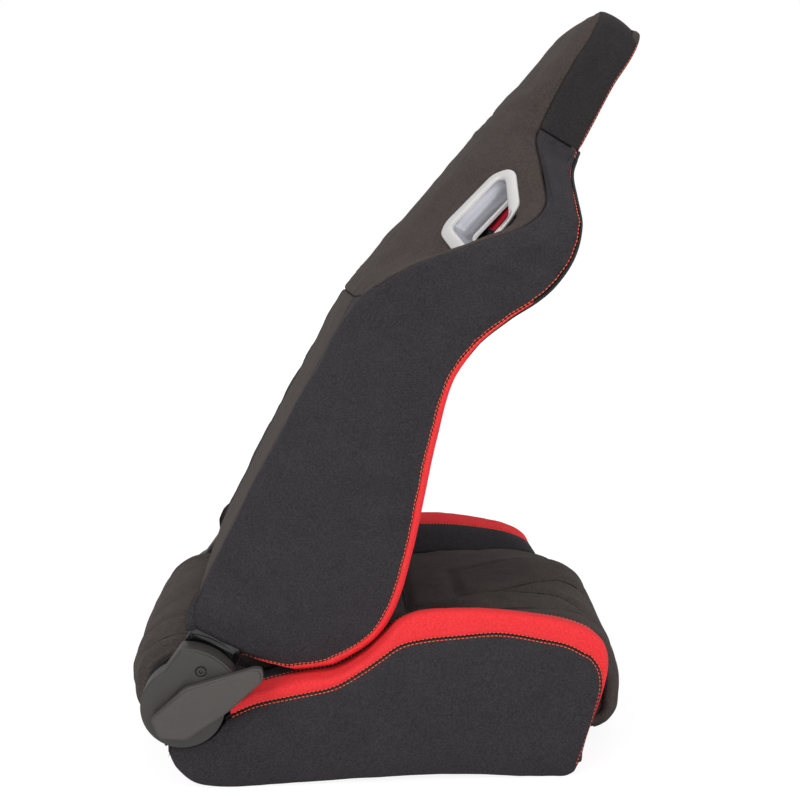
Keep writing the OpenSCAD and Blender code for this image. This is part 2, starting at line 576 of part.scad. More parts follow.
// Middle pad of the back, between the bolsters and wings
pad_back = 18;
pad_deep = 38;
function back_pad_ring(u) =
  let (r = row_at(back_rows, u), y = r[11] - gap - 0.8 * max(0, min(1, (u / bh - 450) / 40)), w = r[12],
    back = max(pad_back, w - pad_deep + 8 * max(0, min(1, (u / bh - 450) / 50))), hip = u < 100 ? (100 - u) / 8 : 0, lean = max(0, r[11] - r[1]) / (w - r[2]),
    yb = y - lean * (w - back) - 4 * max(0, min(1, (u / bh - 400) / 40)))
  concat(
    [for (v = pad_cols) let (rise = 0.9 * pad_rise(v, u - 300) - (abs(v) == 1 ? 3 : 0))
      [w + rise - hip, v * (y + (abs(v) == 1 ? (rise - hip) * lean - 0.8 : 0)), u]],
    [for (v = [1, 0.33, -0.33, -1]) [back, v * min(y, yb), u]]);
module back_center()
  color("#26221f") folded() skin([for (u = concat([75 * bh], [for (i = [1:16]) low_rings[i]], [for (i = [1:13]) high_rings[i]])) back_pad_ring(u)]);

// Head section: height, rear middle w, half width, side seam w, side front w, middle front w
head_rows = [
  [neck_u + gap, rw + 58, hy + 1, 75, 127, 132],
  [765 * bh, rw + 66, hy, 75, 127, 132],
  [800 * bh, rw + 77, hy - 1, 75, 128, 133],
  [840 * bh, rw + 89, hy - 3, 77, 129, 135],
  [870 * bh, rw + 97, hy - 6, 79, 132, 138],
  [892 * bh, rw + 104, hy - 13, 80, 132, 138],
  [906 * bh, rw + 110, hy - 26, 82, 130, 136],
  [916 * bh, rw + 115, hy - 48, 85, 127, 133],
  [920 * bh, rw + 124, hy - 72, 93, 123, 129]
];
function head_ring(r) =
  let (half = curve([
    [0, r[1]], [r[2] * 0.45, r[1] + 3], [r[2] * 0.82, (r[1] + r[3]) / 2 - 4], [r[2] - 3, r[3]],
    [r[2], (r[3] + r[4]) / 2], [r[2] - 3, r[4]], [r[2] * 0.82, (r[4] + r[5]) / 2 + 2], [r[2] * 0.45, r[5]], [0, r[5] + 1]], 14))
  concat(
    [for (q = half) [q[1], q[0], r[0]]],
    [for (i = [len(half) - 2:-1:1]) [half[i][1], -half[i][0], r[0]]]);
module head_pad() {
  k = 16;
  color("#26221f") folded() skin([for (r = curve(head_rows, k)) head_ring(r)]);
}

// Rear panels: a hard shell below, a padded panel between the wings above
function rear_edge(u) = let (r = row_at(back_rows, u)) [r[2], r[1] - gap];
// how far the rear panel's middle stands proud of its edges
function rear_crown(u) = lookup(u / bh, [[80, 1], [250, 1], [390, 5], [470, 8.5], [486, 8.5], [505, 3], [530, 1], [600, 0]]);
function rear_ring(u, t) =
  let (e = rear_edge(u), n = 8)
  concat(
    [for (i = [0:n]) let (v = -1 + 2 * i / n) [e[0] - rear_crown(u) * (1 - v * v), v * e[1], u]],
    [for (i = [n:-1:0]) let (v = -1 + 2 * i / n) [e[0] + t, v * e[1], u]]);
module rear_panel() color("#2e2c29") folded() skin([for (i = [0:14]) rear_ring((80 + 402 * i / 14) * bh, shell_t)]);
module upper_rear_panel()
  color("#26221f") folded() skin([for (i = [0:12]) rear_ring((482.5 + 255 * i / 12) * bh, shell_t + 3)]);

// Tubes inside the back
waist_y = 140;
neck_y = 72;
module back_tube()
  color("#1b1c1f") folded() tube_path([
    [0, arm_y - arm_t - tube_r, 52], [0, arm_y - arm_t - tube_r, 96], [-8, waist_y, 165 * bh],
    [-8, waist_y, 430 * bh], [8, neck_y, 565 * bh], [44, neck_y, 712 * bh]], tube_r, 34);
// Cross tubes, their ends cut to saddle on the uprights
module cross_tube(w, y, u, tilt)
  difference() {
    translate([w, 0, u * bh]) y_bar(-y, y, tube_r - 2, fn_tube);
    for (k = [-1, 1]) translate([w, k * y, u * bh]) rotate([0, tilt, 0])
      cylinder(h = 60, r = tube_r + 0.02, center = true, $fn = fn_tube);
  }
module lower_back_tube() color("#1b1c1f") folded() cross_tube(-8, waist_y, 190, 0);
module upper_back_tube() color("#1b1c1f") folded() cross_tube(24.9, neck_y, 634, atan2(36, 147 * bh));
module head_frame()
  color("#1b1c1f") folded() tube_path([
    [48, -neck_y, 714 * bh], [98, -neck_y, 872 * bh], [98, neck_y, 872 * bh], [48, neck_y, 714 * bh]], tube_r - 2, 36);
module lumbar_mat() {
  wire = 1.6;
  color("#9a9da2") folded() {
    for (u = [230:35:405]) translate([pad_back - gap - wire, 0, u * bh]) y_bar(-waist_y, waist_y, wire, 12);
    for (k = [-1, 1], u = [230, 300, 370]) translate([-8, k * waist_y, u * bh]) {
      difference() {
        translate([0, 0, -5]) cylinder(h = 10, r = tube_r + 2);
        translate([0, 0, -6]) cylinder(h = 12, r = tube_r + 0.02);
      }
      translate([tube_r + 1, -2, -2]) cube([pad_back - gap - wire - tube_r + 7, 4, 4]);
    }
    for (y = [-90, 0, 90]) translate([pad_back - gap - wire, y, 230 * bh]) cylinder(h = 175 * bh, r = wire + 0.4, $fn = 16);
  }
}

left() base_side();  // base_side_left
right() base_side();  // base_side_right
crossmember(bolt_x / 2);  // front_crossmember
crossmember(-bolt_x / 2);  // rear_crossmember
front_tube();
rear_tube();
seat_pan();
weld_nuts();
cushion_springs();
cushion_center();
left() cushion_bolster();  // cushion_bolster_left
right() cushion_bolster();  // cushion_bolster_right
left() side_panel();  // side_panel_left
right() side_panel();  // side_panel_right
left() recliner_guide();  // recliner_guide_left
right() recliner_guide();  // recliner_guide_right
left() recliner_ring();  // recliner_ring_left
right() recliner_ring();  // recliner_ring_right
left() recliner_arm();  // recliner_arm_left
right() recliner_arm();  // recliner_arm_right
left() return_spring();  // return_spring_left
right() return_spring();  // return_spring_right
left() recliner_cover();  // recliner_cover_left
right() recliner_cover();  // recliner_cover_right
cover_screws();
left() back_tube();  // back_tube_left
right() back_tube();  // back_tube_right
lower_back_tube();
upper_back_tube();
head_frame();
lumbar_mat();
back_center();
left() back_bolster();  // back_bolster_left
right() back_bolster();  // back_bolster_right
left() shoulder_wing();  // shoulder_wing_left
right() shoulder_wing();  // shoulder_wing_right
head_pad();
rear_panel();
upper_rear_panel();
left() belt_guide();  // belt_guide_left
right() belt_guide();  // belt_guide_right
left() belt_guide_front();  // belt_guide_front_left
right() belt_guide_front();  // belt_guide_front_right
left() lever();  // lever_left
right() lever();  // lever_right
sync_rod();
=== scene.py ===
# %% [markdown]
# # A folding sports seat, dressed in Blender
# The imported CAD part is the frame. Every foam part gets a sewn cloth cover made here as a numpy
# surface, and the hard parts get rounded edges and a finish. Lengths are millimetres throughout, and
# become metres only where a mesh, a lamp or the camera is made.

# %% Set-up
import json
import math

import bmesh
import bpy
import numpy as np
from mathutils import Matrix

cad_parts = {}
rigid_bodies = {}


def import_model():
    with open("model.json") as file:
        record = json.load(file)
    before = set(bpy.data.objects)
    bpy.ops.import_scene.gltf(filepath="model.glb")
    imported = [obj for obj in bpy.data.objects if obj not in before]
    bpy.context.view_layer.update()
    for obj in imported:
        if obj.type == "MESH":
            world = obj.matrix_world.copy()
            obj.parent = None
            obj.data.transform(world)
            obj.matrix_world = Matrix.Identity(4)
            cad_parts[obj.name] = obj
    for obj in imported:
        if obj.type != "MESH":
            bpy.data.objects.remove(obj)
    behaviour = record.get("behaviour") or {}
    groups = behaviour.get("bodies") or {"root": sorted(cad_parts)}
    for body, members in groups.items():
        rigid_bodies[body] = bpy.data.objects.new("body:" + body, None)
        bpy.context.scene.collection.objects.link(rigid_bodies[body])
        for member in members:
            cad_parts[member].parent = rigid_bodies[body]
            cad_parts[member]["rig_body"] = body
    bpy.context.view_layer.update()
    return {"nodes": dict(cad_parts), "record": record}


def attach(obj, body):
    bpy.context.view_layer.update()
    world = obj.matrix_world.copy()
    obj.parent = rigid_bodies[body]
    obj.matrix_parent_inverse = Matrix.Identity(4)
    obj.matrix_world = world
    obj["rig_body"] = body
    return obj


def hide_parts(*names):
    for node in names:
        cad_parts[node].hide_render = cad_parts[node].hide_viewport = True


for old in list(bpy.data.objects):
    bpy.data.objects.remove(old)
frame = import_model()
METRE = 1000  # millimetres in a metre
print("CAD nodes:", len(frame["nodes"]))

# %% [markdown]
# ## Curves and the two frames of reference
# The cushion is measured straight in the world. The back is measured upright about its hinge, as
# (forward w, sideways y, up u), and then leant 27 degrees forward. Smooth curves go through their
# stations with the Catmull-Rom cubic, so a handful of measured sections gives a whole surface.

# %% Curve helpers
HINGE_X, HINGE_Z, LEAN = -226.0, 98.0, math.radians(27.0)


def cubic(a, b, c, d, f):
    """q(f) = (2b + (c - a) f + (2a - 5b + 4c - d) f^2 + (3b - a - 3c + d) f^3) / 2, from b at 0 to c at 1."""
    return 0.5 * (2 * b + (c - a) * f + (2 * a - 5 * b + 4 * c - d) * f**2 + (3 * b - a - 3 * c + d) * f**3)


def across(ctrl, t):
    """A smooth curve for each row of ctrl (m, k, dim), read at t (m, n) in its segment i = floor(t (k - 1))."""
    m, k = ctrl.shape[:2]
    t = np.broadcast_to(t, (m, np.shape(t)[-1]))
    x = np.clip(t, 0, 1) * (k - 1)
    i = np.minimum(x.astype(int), k - 2)
    r = np.arange(m)[:, None]
    a, b, c, d = (ctrl[r, np.clip(i + j, 0, k - 1)] for j in (-1, 0, 1, 2))
    return cubic(a, b, c, d, (x - i)[..., None])


def curve(points, t):
    """The smooth curve through points (k, dim), read at t between 0 and 1."""
    return across(np.asarray(points, float)[None], np.atleast_1d(t)[None])[0]


def stations(table, v):
    """Rows of a station table at the heights v (its column 0): cubic(f) with f = (v - h_i) / (h_i+1 - h_i)."""
    v = np.asarray(v, float)
    n = len(table) - 1
    i = np.clip(np.searchsorted(table[:, 0], v, "left") - 1, 0, n - 1)
    f = (v - table[i, 0]) / (table[i + 1, 0] - table[i, 0])
    a, b, c, d = (table[np.clip(i + j, 0, n)] for j in (-1, 0, 1, 2))
    return cubic(a, b, c, d, f[..., None])


def leant(w, y, u):
    """World place of a point of the back: x = hinge_x + w cos a + u sin a, z = hinge_z - w sin a + u cos a."""
    w, y, u = np.broadcast_arrays(w, y, u)
    return np.stack([HINGE_X + w * math.cos(LEAN) + u * math.sin(LEAN), y,
                     HINGE_Z - w * math.sin(LEAN) + u * math.cos(LEAN)], -1)


# Distances from a sewn end at which a grid has its lines, close together where the groove is.
NEAR_SEAM = np.array([0, 0.5, 1.0, 1.6, 2.3, 3.1, 4.0, 5.2, 6.8, 9.0, 12.0])


def steps(length, step=4.0, start=True):
    """Grid positions from 0 to 1 over a length in mm, drawn together in the 12 mm before a sewn end."""
    a, b = (NEAR_SEAM if start else NEAR_SEAM[:1]), NEAR_SEAM
    room = max(length - a[-1] - b[-1], 1.0)
    mid = np.linspace(a[-1], a[-1] + room, max(int(round(room / step)), 1) + 1)
    s = np.concatenate([a[:-1], mid, (a[-1] + room + b[-1] - b[:-1])[::-1]])
    return s / s[-1]


def smooth_step(x, lo, hi):
    """3 f^2 - 2 f^3 with f = (x - lo) / (hi - lo), held at 0 and 1 outside."""
    f = np.clip((x - lo) / (hi - lo), 0, 1)
    return f * f * (3 - 2 * f)


print("curve check:", np.round(curve([[0, 0], [1, 2], [2, 0]], [0.5])[0], 2))

# %% [markdown]
# ## Measuring on a surface
# Seams, stitches and slots all need to know where a point lies on a curved cloth. A grid of points
# answers with plain array sums: its normals come from the two derivatives, its lengths from the
# steps between rows and columns, and the distance to a seam from the seam's own straight pieces.

# %% Grid helpers
FAR = 1e3  # a distance that no seam acts over


def normals(grid, away):
    """Unit normals of a grid (m, n, 3): cross product of its two derivatives, turned away from a point."""
    n = np.cross(np.gradient(grid, axis=0), np.gradient(grid, axis=1))
    n /= np.maximum(np.linalg.norm(n, axis=-1, keepdims=True), 1e-9)
    return n if (n * (grid - np.asarray(away, float))).sum() > 0 else -n


def reach(points, line):
    """Distance to a polyline: the least |p - a - f e| over its segments a + f e, with f clamped to 0..1."""
    a, e = line[:-1], np.diff(line, axis=0)
    keep = (e * e).sum(1) > 1e-9
    a, e = a[keep], e[keep]
    l2 = (e * e).sum(1)
    flat = points.reshape(-1, 3)
    best = np.empty(len(flat))
    for k in range(0, len(flat), 3000):
        p = flat[k:k + 3000, None] - a
        f = np.clip((p * e).sum(2) / l2, 0, 1)[..., None]
        best[k:k + 3000] = np.sqrt(((p - f * e) ** 2).sum(2).min(1))
    return best.reshape(points.shape[:-1])


def least_reach(grid, lines):
    """Distance from each point of a grid to the nearest of some lines."""
    d = np.full(grid.shape[:2], FAR)
    for line in lines:
        d = np.minimum(d, reach(grid, line))
    return d


def side_of(grid, edge):
    """The border line of a grid: s0 and s1 are its first and last row, t0 and t1 its first and last column."""
    return {"s0": grid[0], "s1": grid[-1], "t0": grid[:, 0], "t1": grid[:, -1]}[edge]


def ripples(points, wavelength, seed, waves=14):
    """Random relief of about -1 to 1: a sum of plane waves sin(k . p + phase) of nearly one wavelength."""
    rng = np.random.default_rng(seed)
    k = rng.normal(size=(waves, 3))
    spread = rng.uniform(0.7, 1.3, (waves, 1))
    k *= (2 * math.pi / wavelength) * spread / np.linalg.norm(k, axis=1, keepdims=True)
    return np.sin(points @ k.T + rng.uniform(0, 2 * math.pi, waves)).sum(-1) / math.sqrt(waves)


def arcs(grid):
    """Lengths run along the rows and along the columns, in metres: the map that the weave follows."""
    down, along = (np.linalg.norm(np.diff(grid, axis=k), axis=-1).cumsum(k) for k in (0, 1))
    s = np.concatenate([np.zeros((1, grid.shape[1])), down])
    t = np.concatenate([np.zeros((len(grid), 1)), along], 1)
    return np.stack([s, t], -1) / METRE


def mirrored(grid):
    """The same grid on the other side of the seat."""
    return grid * np.array([1.0, -1.0, 1.0])


HANDS = (("left", lambda grid: grid), ("right", mirrored))
print("one wave of cloth relief:", np.round(ripples(np.eye(3) * 50, 70, 1), 2))

# %% [markdown]
# ## Closed meshes
# A plane of faces has no inside, and a piece that is to be printed or simulated needs one. Solidify
# could give the wall, but it can't leave out a hole in the middle of a grid. So each cloth is built
# with its own back layer and a rim of quads wherever the front layer ends, at a hole too.

# %% Mesh helpers
def placed(name, me):
    """A smooth object of a mesh, in the scene."""
    me.shade_smooth()
    ob = bpy.data.objects.new(name, me)
    bpy.context.scene.collection.objects.link(ob)
    return ob


def dressed(ob, finish, body, stands_for=()):
    """Gives a piece its finish, the body it rides on and the nodes it stands for."""
    ob.data.materials.append(finish)
    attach(ob, body)
    if stands_for:
        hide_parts(*stands_for)
    return ob


def grid_quads(m, n):
    """The quads of a grid of m by n points, as four point numbers each."""
    idx = np.arange(m * n).reshape(m, n)
    return np.stack([idx[:-1, :-1], idx[1:, :-1], idx[1:, 1:], idx[:-1, 1:]], -1).reshape(-1, 4)


def new_mesh(name, co, faces, uv=None):
    """A mesh object from points in mm and faces of one kind (one array), with loop UVs when given."""
    me = bpy.data.meshes.new(name)
    k = faces.shape[1]
    me.vertices.add(len(co))
    me.vertices.foreach_set("co", (np.asarray(co, np.float32) / METRE).ravel())
    me.loops.add(faces.size)
    me.loops.foreach_set("vertex_index", faces.astype(np.int32).ravel())
    me.polygons.add(len(faces))
    me.polygons.foreach_set("loop_start", np.arange(0, faces.size, k, dtype=np.int32))
    if uv is not None:
        me.uv_layers.new(name="UVMap").data.foreach_set("uv", uv[faces.ravel()].astype(np.float32).ravel())
    me.update(calc_edges=True)
    me.validate()
    return placed(name, me)


def closed_shell(name, grid, nrm, thick, inside=None):
    """Front layer grid, back layer grid - thick * nrm, and a wall of quads wherever the front layer ends."""
    m, n = grid.shape[:2]
    quads = grid_quads(m, n)
    if inside is not None:
        quads = quads[~inside.ravel()[quads].all(1)]
    a, b, d = (grid.reshape(-1, 3)[quads[:, k]] for k in (0, 1, 3))
    if (np.cross(b - a, d - a) * nrm.reshape(-1, 3)[quads[:, 0]]).sum() < 0:
        quads = quads[:, ::-1]
    edges = np.concatenate([quads[:, [i, (i + 1) % 4]] for i in range(4)])
    key, back = edges[:, 0] * (m * n) + edges[:, 1], edges[:, 1] * (m * n) + edges[:, 0]
    rim = edges[~np.isin(key, back)]
    wall = np.stack([rim[:, 1], rim[:, 0], rim[:, 0] + m * n, rim[:, 1] + m * n], -1)
    faces = np.concatenate([quads, quads[:, ::-1] + m * n, wall])
    co = np.concatenate([grid.reshape(-1, 3), (grid - thick * nrm).reshape(-1, 3)])
    uv = np.tile(arcs(grid).reshape(-1, 2), (2, 1))
    used = np.unique(faces)
    new = np.zeros(len(co), int)
    new[used] = np.arange(len(used))
    return new_mesh(name, co[used], new[faces], uv[used])


print("quads of a 3 by 3 grid:", len(grid_quads(3, 3)))

# %% [markdown]
# ## Cloth that has settled
# A cover is cut a little slack and the foam blows it up, so between its seams it lies in faint,
# uneven folds. Noise alone looks like noise. Blender's cloth simulation gives the real thing: a
# coarse copy of the panel, held along its seams, a little too large and under light pressure. Only
# its fine folds are kept, because the broad shape is already right.

# %% Cloth simulation
DRAPE_FRAMES, DRAPE_GRID = 20, 4.0
DRAPE = {"quality": 5, "mass": 0.25, "bending_stiffness": 0.15, "use_pressure": True,
         "uniform_pressure_force": 4.0, "shrink_min": -0.035, "vertex_group_mass": "pins", "pin_stiffness": 1.0}


def blurred(height, times=12):
    """The height field with its folds smoothed away, which leaves the broad swelling."""
    out = height.copy()
    for _ in range(times):
        pad = np.pad(out, 1, mode="edge")
        out = (pad[:-2, 1:-1] + pad[2:, 1:-1] + pad[1:-1, :-2] + pad[1:-1, 2:]) / 4
    return out


def draped(grid, nrm, cell=9.0, hold=0.12, most=3.0):
    """Folds of a slack cloth with pinned borders: its settling along nrm, less the same settling blurred."""
    pick = [np.unique(np.linspace(0, n - 1, max(6, int(n * DRAPE_GRID / cell))).round().astype(int))
            for n in grid.shape[:2]]
    rest, up = grid[np.ix_(*pick)], nrm[np.ix_(*pick)]
    m, n = rest.shape[:2]
    quads = grid_quads(m, n)
    turn = np.cross(rest[1, 0] - rest[0, 0], rest[0, 1] - rest[0, 0])
    quads = quads if (turn * up[0, 0]).sum() > 0 else quads[:, ::-1]
    ob = new_mesh("draping", rest.reshape(-1, 3), quads)
    border = np.zeros((m, n), bool)
    border[[0, -1]], border[:, [0, -1]] = True, True
    pins = ob.vertex_groups.new(name="pins")
    pins.add(np.flatnonzero(border).tolist(), 1.0, "REPLACE")
    pins.add(np.flatnonzero(~border).tolist(), hold, "REPLACE")
    sim = ob.modifiers.new("drape", "CLOTH")
    for key, value in DRAPE.items():
        setattr(sim.settings, key, value)
    sim.settings.effector_weights.gravity = 0.0
    sim.collision_settings.use_collision = False
    scene = bpy.context.scene
    for f in range(1, DRAPE_FRAMES + 1):
        scene.frame_set(f)
    done = ob.evaluated_get(bpy.context.evaluated_depsgraph_get()).data
    co = np.empty(m * n * 3)
    done.vertices.foreach_get("co", co)
    scene.frame_set(1)
    bpy.data.objects.remove(ob)
    moved = ((co.reshape(m, n, 3) * METRE - rest) * up).sum(-1)
    folds = np.clip(moved - blurred(moved), -most, most)
    print(f"cloth settled on {m} x {n} points, folds {folds.min():.2f} to {folds.max():.2f} mm")
    rows = np.stack([np.interp(np.arange(grid.shape[0]), pick[0], folds[:, k]) for k in range(n)], 1)
    return np.stack([np.interp(np.arange(grid.shape[1]), pick[1], r) for r in rows])


print("cloth simulation", f"of {DRAPE_FRAMES} frames a panel")

# %% [markdown]
# ## Sewn panels
# A cover is sewn from flat panels. Along each seam the cloth dives into a narrow groove, the
# topstitch pinches it a little 3 mm away, and the foam swells it again beyond. Displacement by a
# painted mask would blur that profile. Here it is a function of the true distance to the seam
# line, so it follows any curve and stays sharp.

# %% Panel helpers
GROOVE, PINCH_AT, PINCH, PINCH_W, SWELL_W = 1.2, 3.0, 0.35, 0.9, 12
QUILT_GROOVE, QUILT_SWELL_AT, QUILT_SWELL, QUILT_SWELL_W = 4.5, 14, 0.8, 8
CALM_BELOW, FREE_ABOVE = 8, 30  # a row narrower than this lies flat, a wider one moves freely
WAVE, FINE_WAVE, WAVE_EASE, FOLD_EASE = 70, 24, 9, 5  # waves of the relief, and their fading at a seam
PANELS = {}


def seam_dip(d, depth=4.0, swell=0.8):
    """Height of cloth at the distance d from a seam: a groove, a pinch under the topstitch, then the swell."""
    return (-depth * np.exp(-(d / GROOVE) ** 1.5) - PINCH * np.exp(-(((d - PINCH_AT) / PINCH_W) ** 2))
            + swell * (1 - np.exp(-d / SWELL_W)))


def panel(name, grid, away, finish, body, sewn=("s0", "s1", "t0", "t1"), lines=(), depth=4.0, swell=0.8,
          relief=0.35, thick=6.0, inside=None, stands_for=(), seed=1, drape=0.0):
    """Cloth panel over a grid: dips along its sewn borders and lines, relief elsewhere, closed and dressed."""
    nrm = normals(grid, away)
    d = least_reach(grid, [side_of(grid, e) for e in sewn])
    quilt_d = least_reach(grid, lines)
    calm = smooth_step(np.linalg.norm(np.diff(grid, axis=1), axis=2).sum(1), CALM_BELOW, FREE_ABOVE)[:, None]
    rise = calm * (seam_dip(d, depth, swell) - depth * np.exp(-(quilt_d / QUILT_GROOVE) ** 1.4)
                   + QUILT_SWELL * np.exp(-(((quilt_d - QUILT_SWELL_AT) / QUILT_SWELL_W) ** 2))
                   + relief * (1 - np.exp(-d / WAVE_EASE))
                   * (ripples(grid, WAVE, seed) + 0.5 * ripples(grid, FINE_WAVE, seed + 9)))
    if np.any(drape):
        rise = rise + drape * calm * draped(grid, nrm) * (1 - np.exp(-np.minimum(d, quilt_d) / FOLD_EASE))
    surf = grid + rise[..., None] * nrm
    ob = dressed(closed_shell(name, surf, nrm, thick, inside), finish, body, stands_for)
    PANELS[name] = surf, normals(surf, away)
    flat = arcs(grid)
    long, wide = flat[-1, :, 0].max() * METRE, flat[:, -1, 1].max() * METRE
    print(f"{name}: {long:.0f} x {wide:.0f} mm along its threads")
    return ob


def inset(name, edge, mm=3.0, lo=0.0, margin=2.5):
    """Line on a panel that keeps mm away from one border: where the distance grows past mm, row by row."""
    surf, nrm = PANELS[name]
    if edge[0] == "s":
        surf, nrm = surf.transpose(1, 0, 2), nrm.transpose(1, 0, 2)
    if edge[1] == "1":
        surf, nrm = surf[:, ::-1], nrm[:, ::-1]
    d = reach(surf[:, :26], surf[:, 0])  # 26 columns reach past the last line of NEAR_SEAM
    j = np.argmax(d > mm, 1)
    r = np.arange(len(surf))
    f = ((mm - d[r, j - 1]) / np.maximum(d[r, j] - d[r, j - 1], 1e-6))[:, None]
    line = surf[r, j - 1] * (1 - f) + surf[r, j] * f
    up = nrm[r, j - 1] * (1 - f) + nrm[r, j] * f
    ends = np.minimum(reach(line, surf[0]), reach(line, surf[-1]))
    keep = (j > 0) & (r >= lo * (len(r) - 1)) & (ends > margin)
    return line[keep], up[keep]


def groove_bottom(name, edge, rise=2.4):
    """The bottom of a sewn groove along one border of a panel, raised along the cloth's normal."""
    surf, nrm = PANELS[name]
    return side_of(surf, edge) + rise * side_of(nrm, edge)


print("height of the cloth in a groove and at the pinch, mm:", np.round(seam_dip(np.array([0, PINCH_AT])), 2))

# %% [markdown]
# ## Threads and cords
# A row of stitches could be a dashed texture, but bright thread on black cloth is seen from close
# by, where a texture has no thickness. So each stitch is a small closed tube that arches off the
# cloth, all stitches of a seam in one mesh, and a thin cord fills the bottom of the groove.

# %% Thread helpers
RING = 6  # points round a thread
THREAD_RING = np.array([[math.cos(a), math.sin(a)] for a in np.linspace(0, 2 * math.pi, RING, endpoint=False)])


def tube_quads(rings, sides):
    """The wall of a tube: quads between neighbouring rings of points."""
    i, j = np.meshgrid(np.arange(rings - 1), np.arange(sides), indexing="ij")
    a, b = (i * sides + j).ravel(), (i * sides + (j + 1) % sides).ravel()
    return np.stack([a, b, b + sides, a + sides], -1)


def unit(v):
    """Vectors of length 1."""
    return v / np.maximum(np.linalg.norm(v, axis=-1, keepdims=True), 1e-9)


def resample(line, up, pitch):
    """Points every pitch mm along a line, with its direction and the surface normal there."""
    run = np.concatenate([[0], np.linalg.norm(np.diff(line, axis=0), axis=1).cumsum()])
    at = np.arange(pitch / 2, run[-1], pitch)
    p = np.stack([np.interp(at, run, line[:, k]) for k in range(3)], -1)
    n = np.stack([np.interp(at, run, up[:, k]) for k in range(3)], -1)
    t = unit(np.stack([np.interp(at + 0.5, run, line[:, k]) - np.interp(at - 0.5, run, line[:, k])
                       for k in range(3)], -1))
    n -= (n * t).sum(1, keepdims=True) * t
    return p, t, unit(n)


def stitching(name, runs, finish, body, pitch=4.7, long=3.5, fat=0.55):
    """A tube per stitch: rings of radius fat * r at long * (q - 0.5), arched by 0.5 sin(pi q) off the cloth."""
    q = np.array([0.0, 0.12, 0.35, 0.65, 0.88, 1.0])
    r = fat * np.array([0.25, 0.8, 1.0, 1.0, 0.8, 0.25])
    along = (q - 0.5) * long
    lift = 0.5 * np.sin(math.pi * q) - 0.15
    stitch = np.concatenate([
        np.stack([np.full(RING, x), rr * THREAD_RING[:, 0], h + rr * THREAD_RING[:, 1]], -1)
        for x, rr, h in zip(along, r, lift)])
    # each hexagonal end is closed with two quads; the last ring begins at point 30
    caps = np.array([[0, 3, 2, 1], [0, 5, 4, 3], [30, 31, 32, 33], [30, 33, 34, 35]])
    quads = np.concatenate([tube_quads(len(q), RING), caps])
    parts = [resample(line, up, pitch) for line, up in runs if len(line) > 3]
    p, t, n = (np.concatenate([x[k] for x in parts]) for k in range(3))
    side = np.cross(n, t)
    co = (p[:, None] + stitch[None, :, :1] * t[:, None] + stitch[None, :, 1:2] * side[:, None]
          + stitch[None, :, 2:] * n[:, None])
    faces = (quads[None] + len(stitch) * np.arange(len(p))[:, None, None]).reshape(-1, 4)
    print(f"{name}: {len(p)} stitches")
    return dressed(new_mesh(name, co.reshape(-1, 3), faces), finish, body)


def cords(name, lines, radius, finish, body, sides=6):
    """Round cord along each line: q + radius (cos a e + sin a f), with e and f across it, its ends capped."""
    co, quads, tris, base = [], [], [], 0
    ring = np.linspace(0, 2 * math.pi, sides, endpoint=False)
    start = np.array([[0, k + 1, k] for k in range(1, sides - 1)])
    for line in lines:
        line = line[np.concatenate([[True], np.linalg.norm(np.diff(line, axis=0), axis=1) > 0.05])]
        t = unit(np.gradient(line, axis=0))
        off_axis = np.array([0.3, 1.0, 0.2]) if abs(t[:, 1]).mean() < 0.8 else np.array([1.0, 0.1, 0.3])
        e = unit(np.cross(t, off_axis))
        f = np.cross(t, e)
        turn = np.cos(ring)[None, :, None] * e[:, None] + np.sin(ring)[None, :, None] * f[:, None]
        co.append((line[:, None] + radius * turn).reshape(-1, 3))
        quads.append(tube_quads(len(line), sides) + base)
        tris += [start + base, start[:, [0, 2, 1]] + (len(line) - 1) * sides + base]
        base += len(line) * sides
    me = bpy.data.meshes.new(name)
    faces = np.concatenate(quads).tolist() + np.concatenate(tris).tolist()
    me.from_pydata((np.concatenate(co) / METRE).tolist(), [], faces)
    me.validate()
    print(f"{name}: {len(lines)} cords")
    return dressed(placed(name, me), finish, body)


print("quads round a stitch:", len(tube_quads(6, RING)))

# %% [markdown]
# ## Finishes
# Shader maths reads better as arithmetic, so a socket is wrapped in a small class whose operators
# add Math nodes. The cloth is a fine weave in the panel's own map, mottled by slow noise: an image
# of cloth would repeat and stretch, a weave worked out from the map follows every panel. Sheen
# stays a constant, so the finish survives the export to other tools.

# %% Shader helpers
class Val:
    """A node socket that can be used in arithmetic."""

    def __init__(self, tree, socket):
        self.tree, self.socket = tree, socket

    def math(self, op, a, b=0.0):
        """One Math node on a and b."""
        n = self.tree.nodes.new("ShaderNodeMath")
        n.operation = op
        for socket, value in zip(n.inputs, (a, b)):
            plug(self.tree, socket, value)
        return Val(self.tree, n.outputs[0])

    def __add__(self, other):
        return self.math("ADD", self, other)

    def __sub__(self, other):
        return self.math("SUBTRACT", self, other)

    def __rsub__(self, other):
        return self.math("SUBTRACT", other, self)

    def __mul__(self, other):
        return self.math("MULTIPLY", self, other)

    __radd__, __rmul__ = __add__, __mul__

    def sin(self):
        """Sine in radians."""
        return self.math("SINE", self)


def plug(tree, socket, value):
    """Links a wrapped socket, or sets a plain value."""
    if isinstance(value, Val):
        tree.links.new(value.socket, socket)
    else:
        socket.default_value = value


def node(tree, kind, out=0, settings=None, **links):
    """Any node: its settings, then its inputs by name (underscores for spaces) or by number, as i0 or i7."""
    n = tree.nodes.new("ShaderNode" + kind)
    for key, value in (settings or {}).items():
        setattr(n, key, value)
    for key, value in links.items():
        name = key.replace("_", " ")
        socket = n.inputs[int(name[1:])] if name[0] == "i" and name[1:].isdigit() else n.inputs[name]
        plug(tree, socket, value)
    return Val(tree, n.outputs[out])


def srgb(r, g, b):
    """Linear colour of 8-bit sRGB numbers."""
    c = np.array([r, g, b]) / 255
    lin = np.where(c <= 0.04045, c / 12.92, ((c + 0.055) / 1.055) ** 2.4)
    return (*lin.tolist(), 1.0)


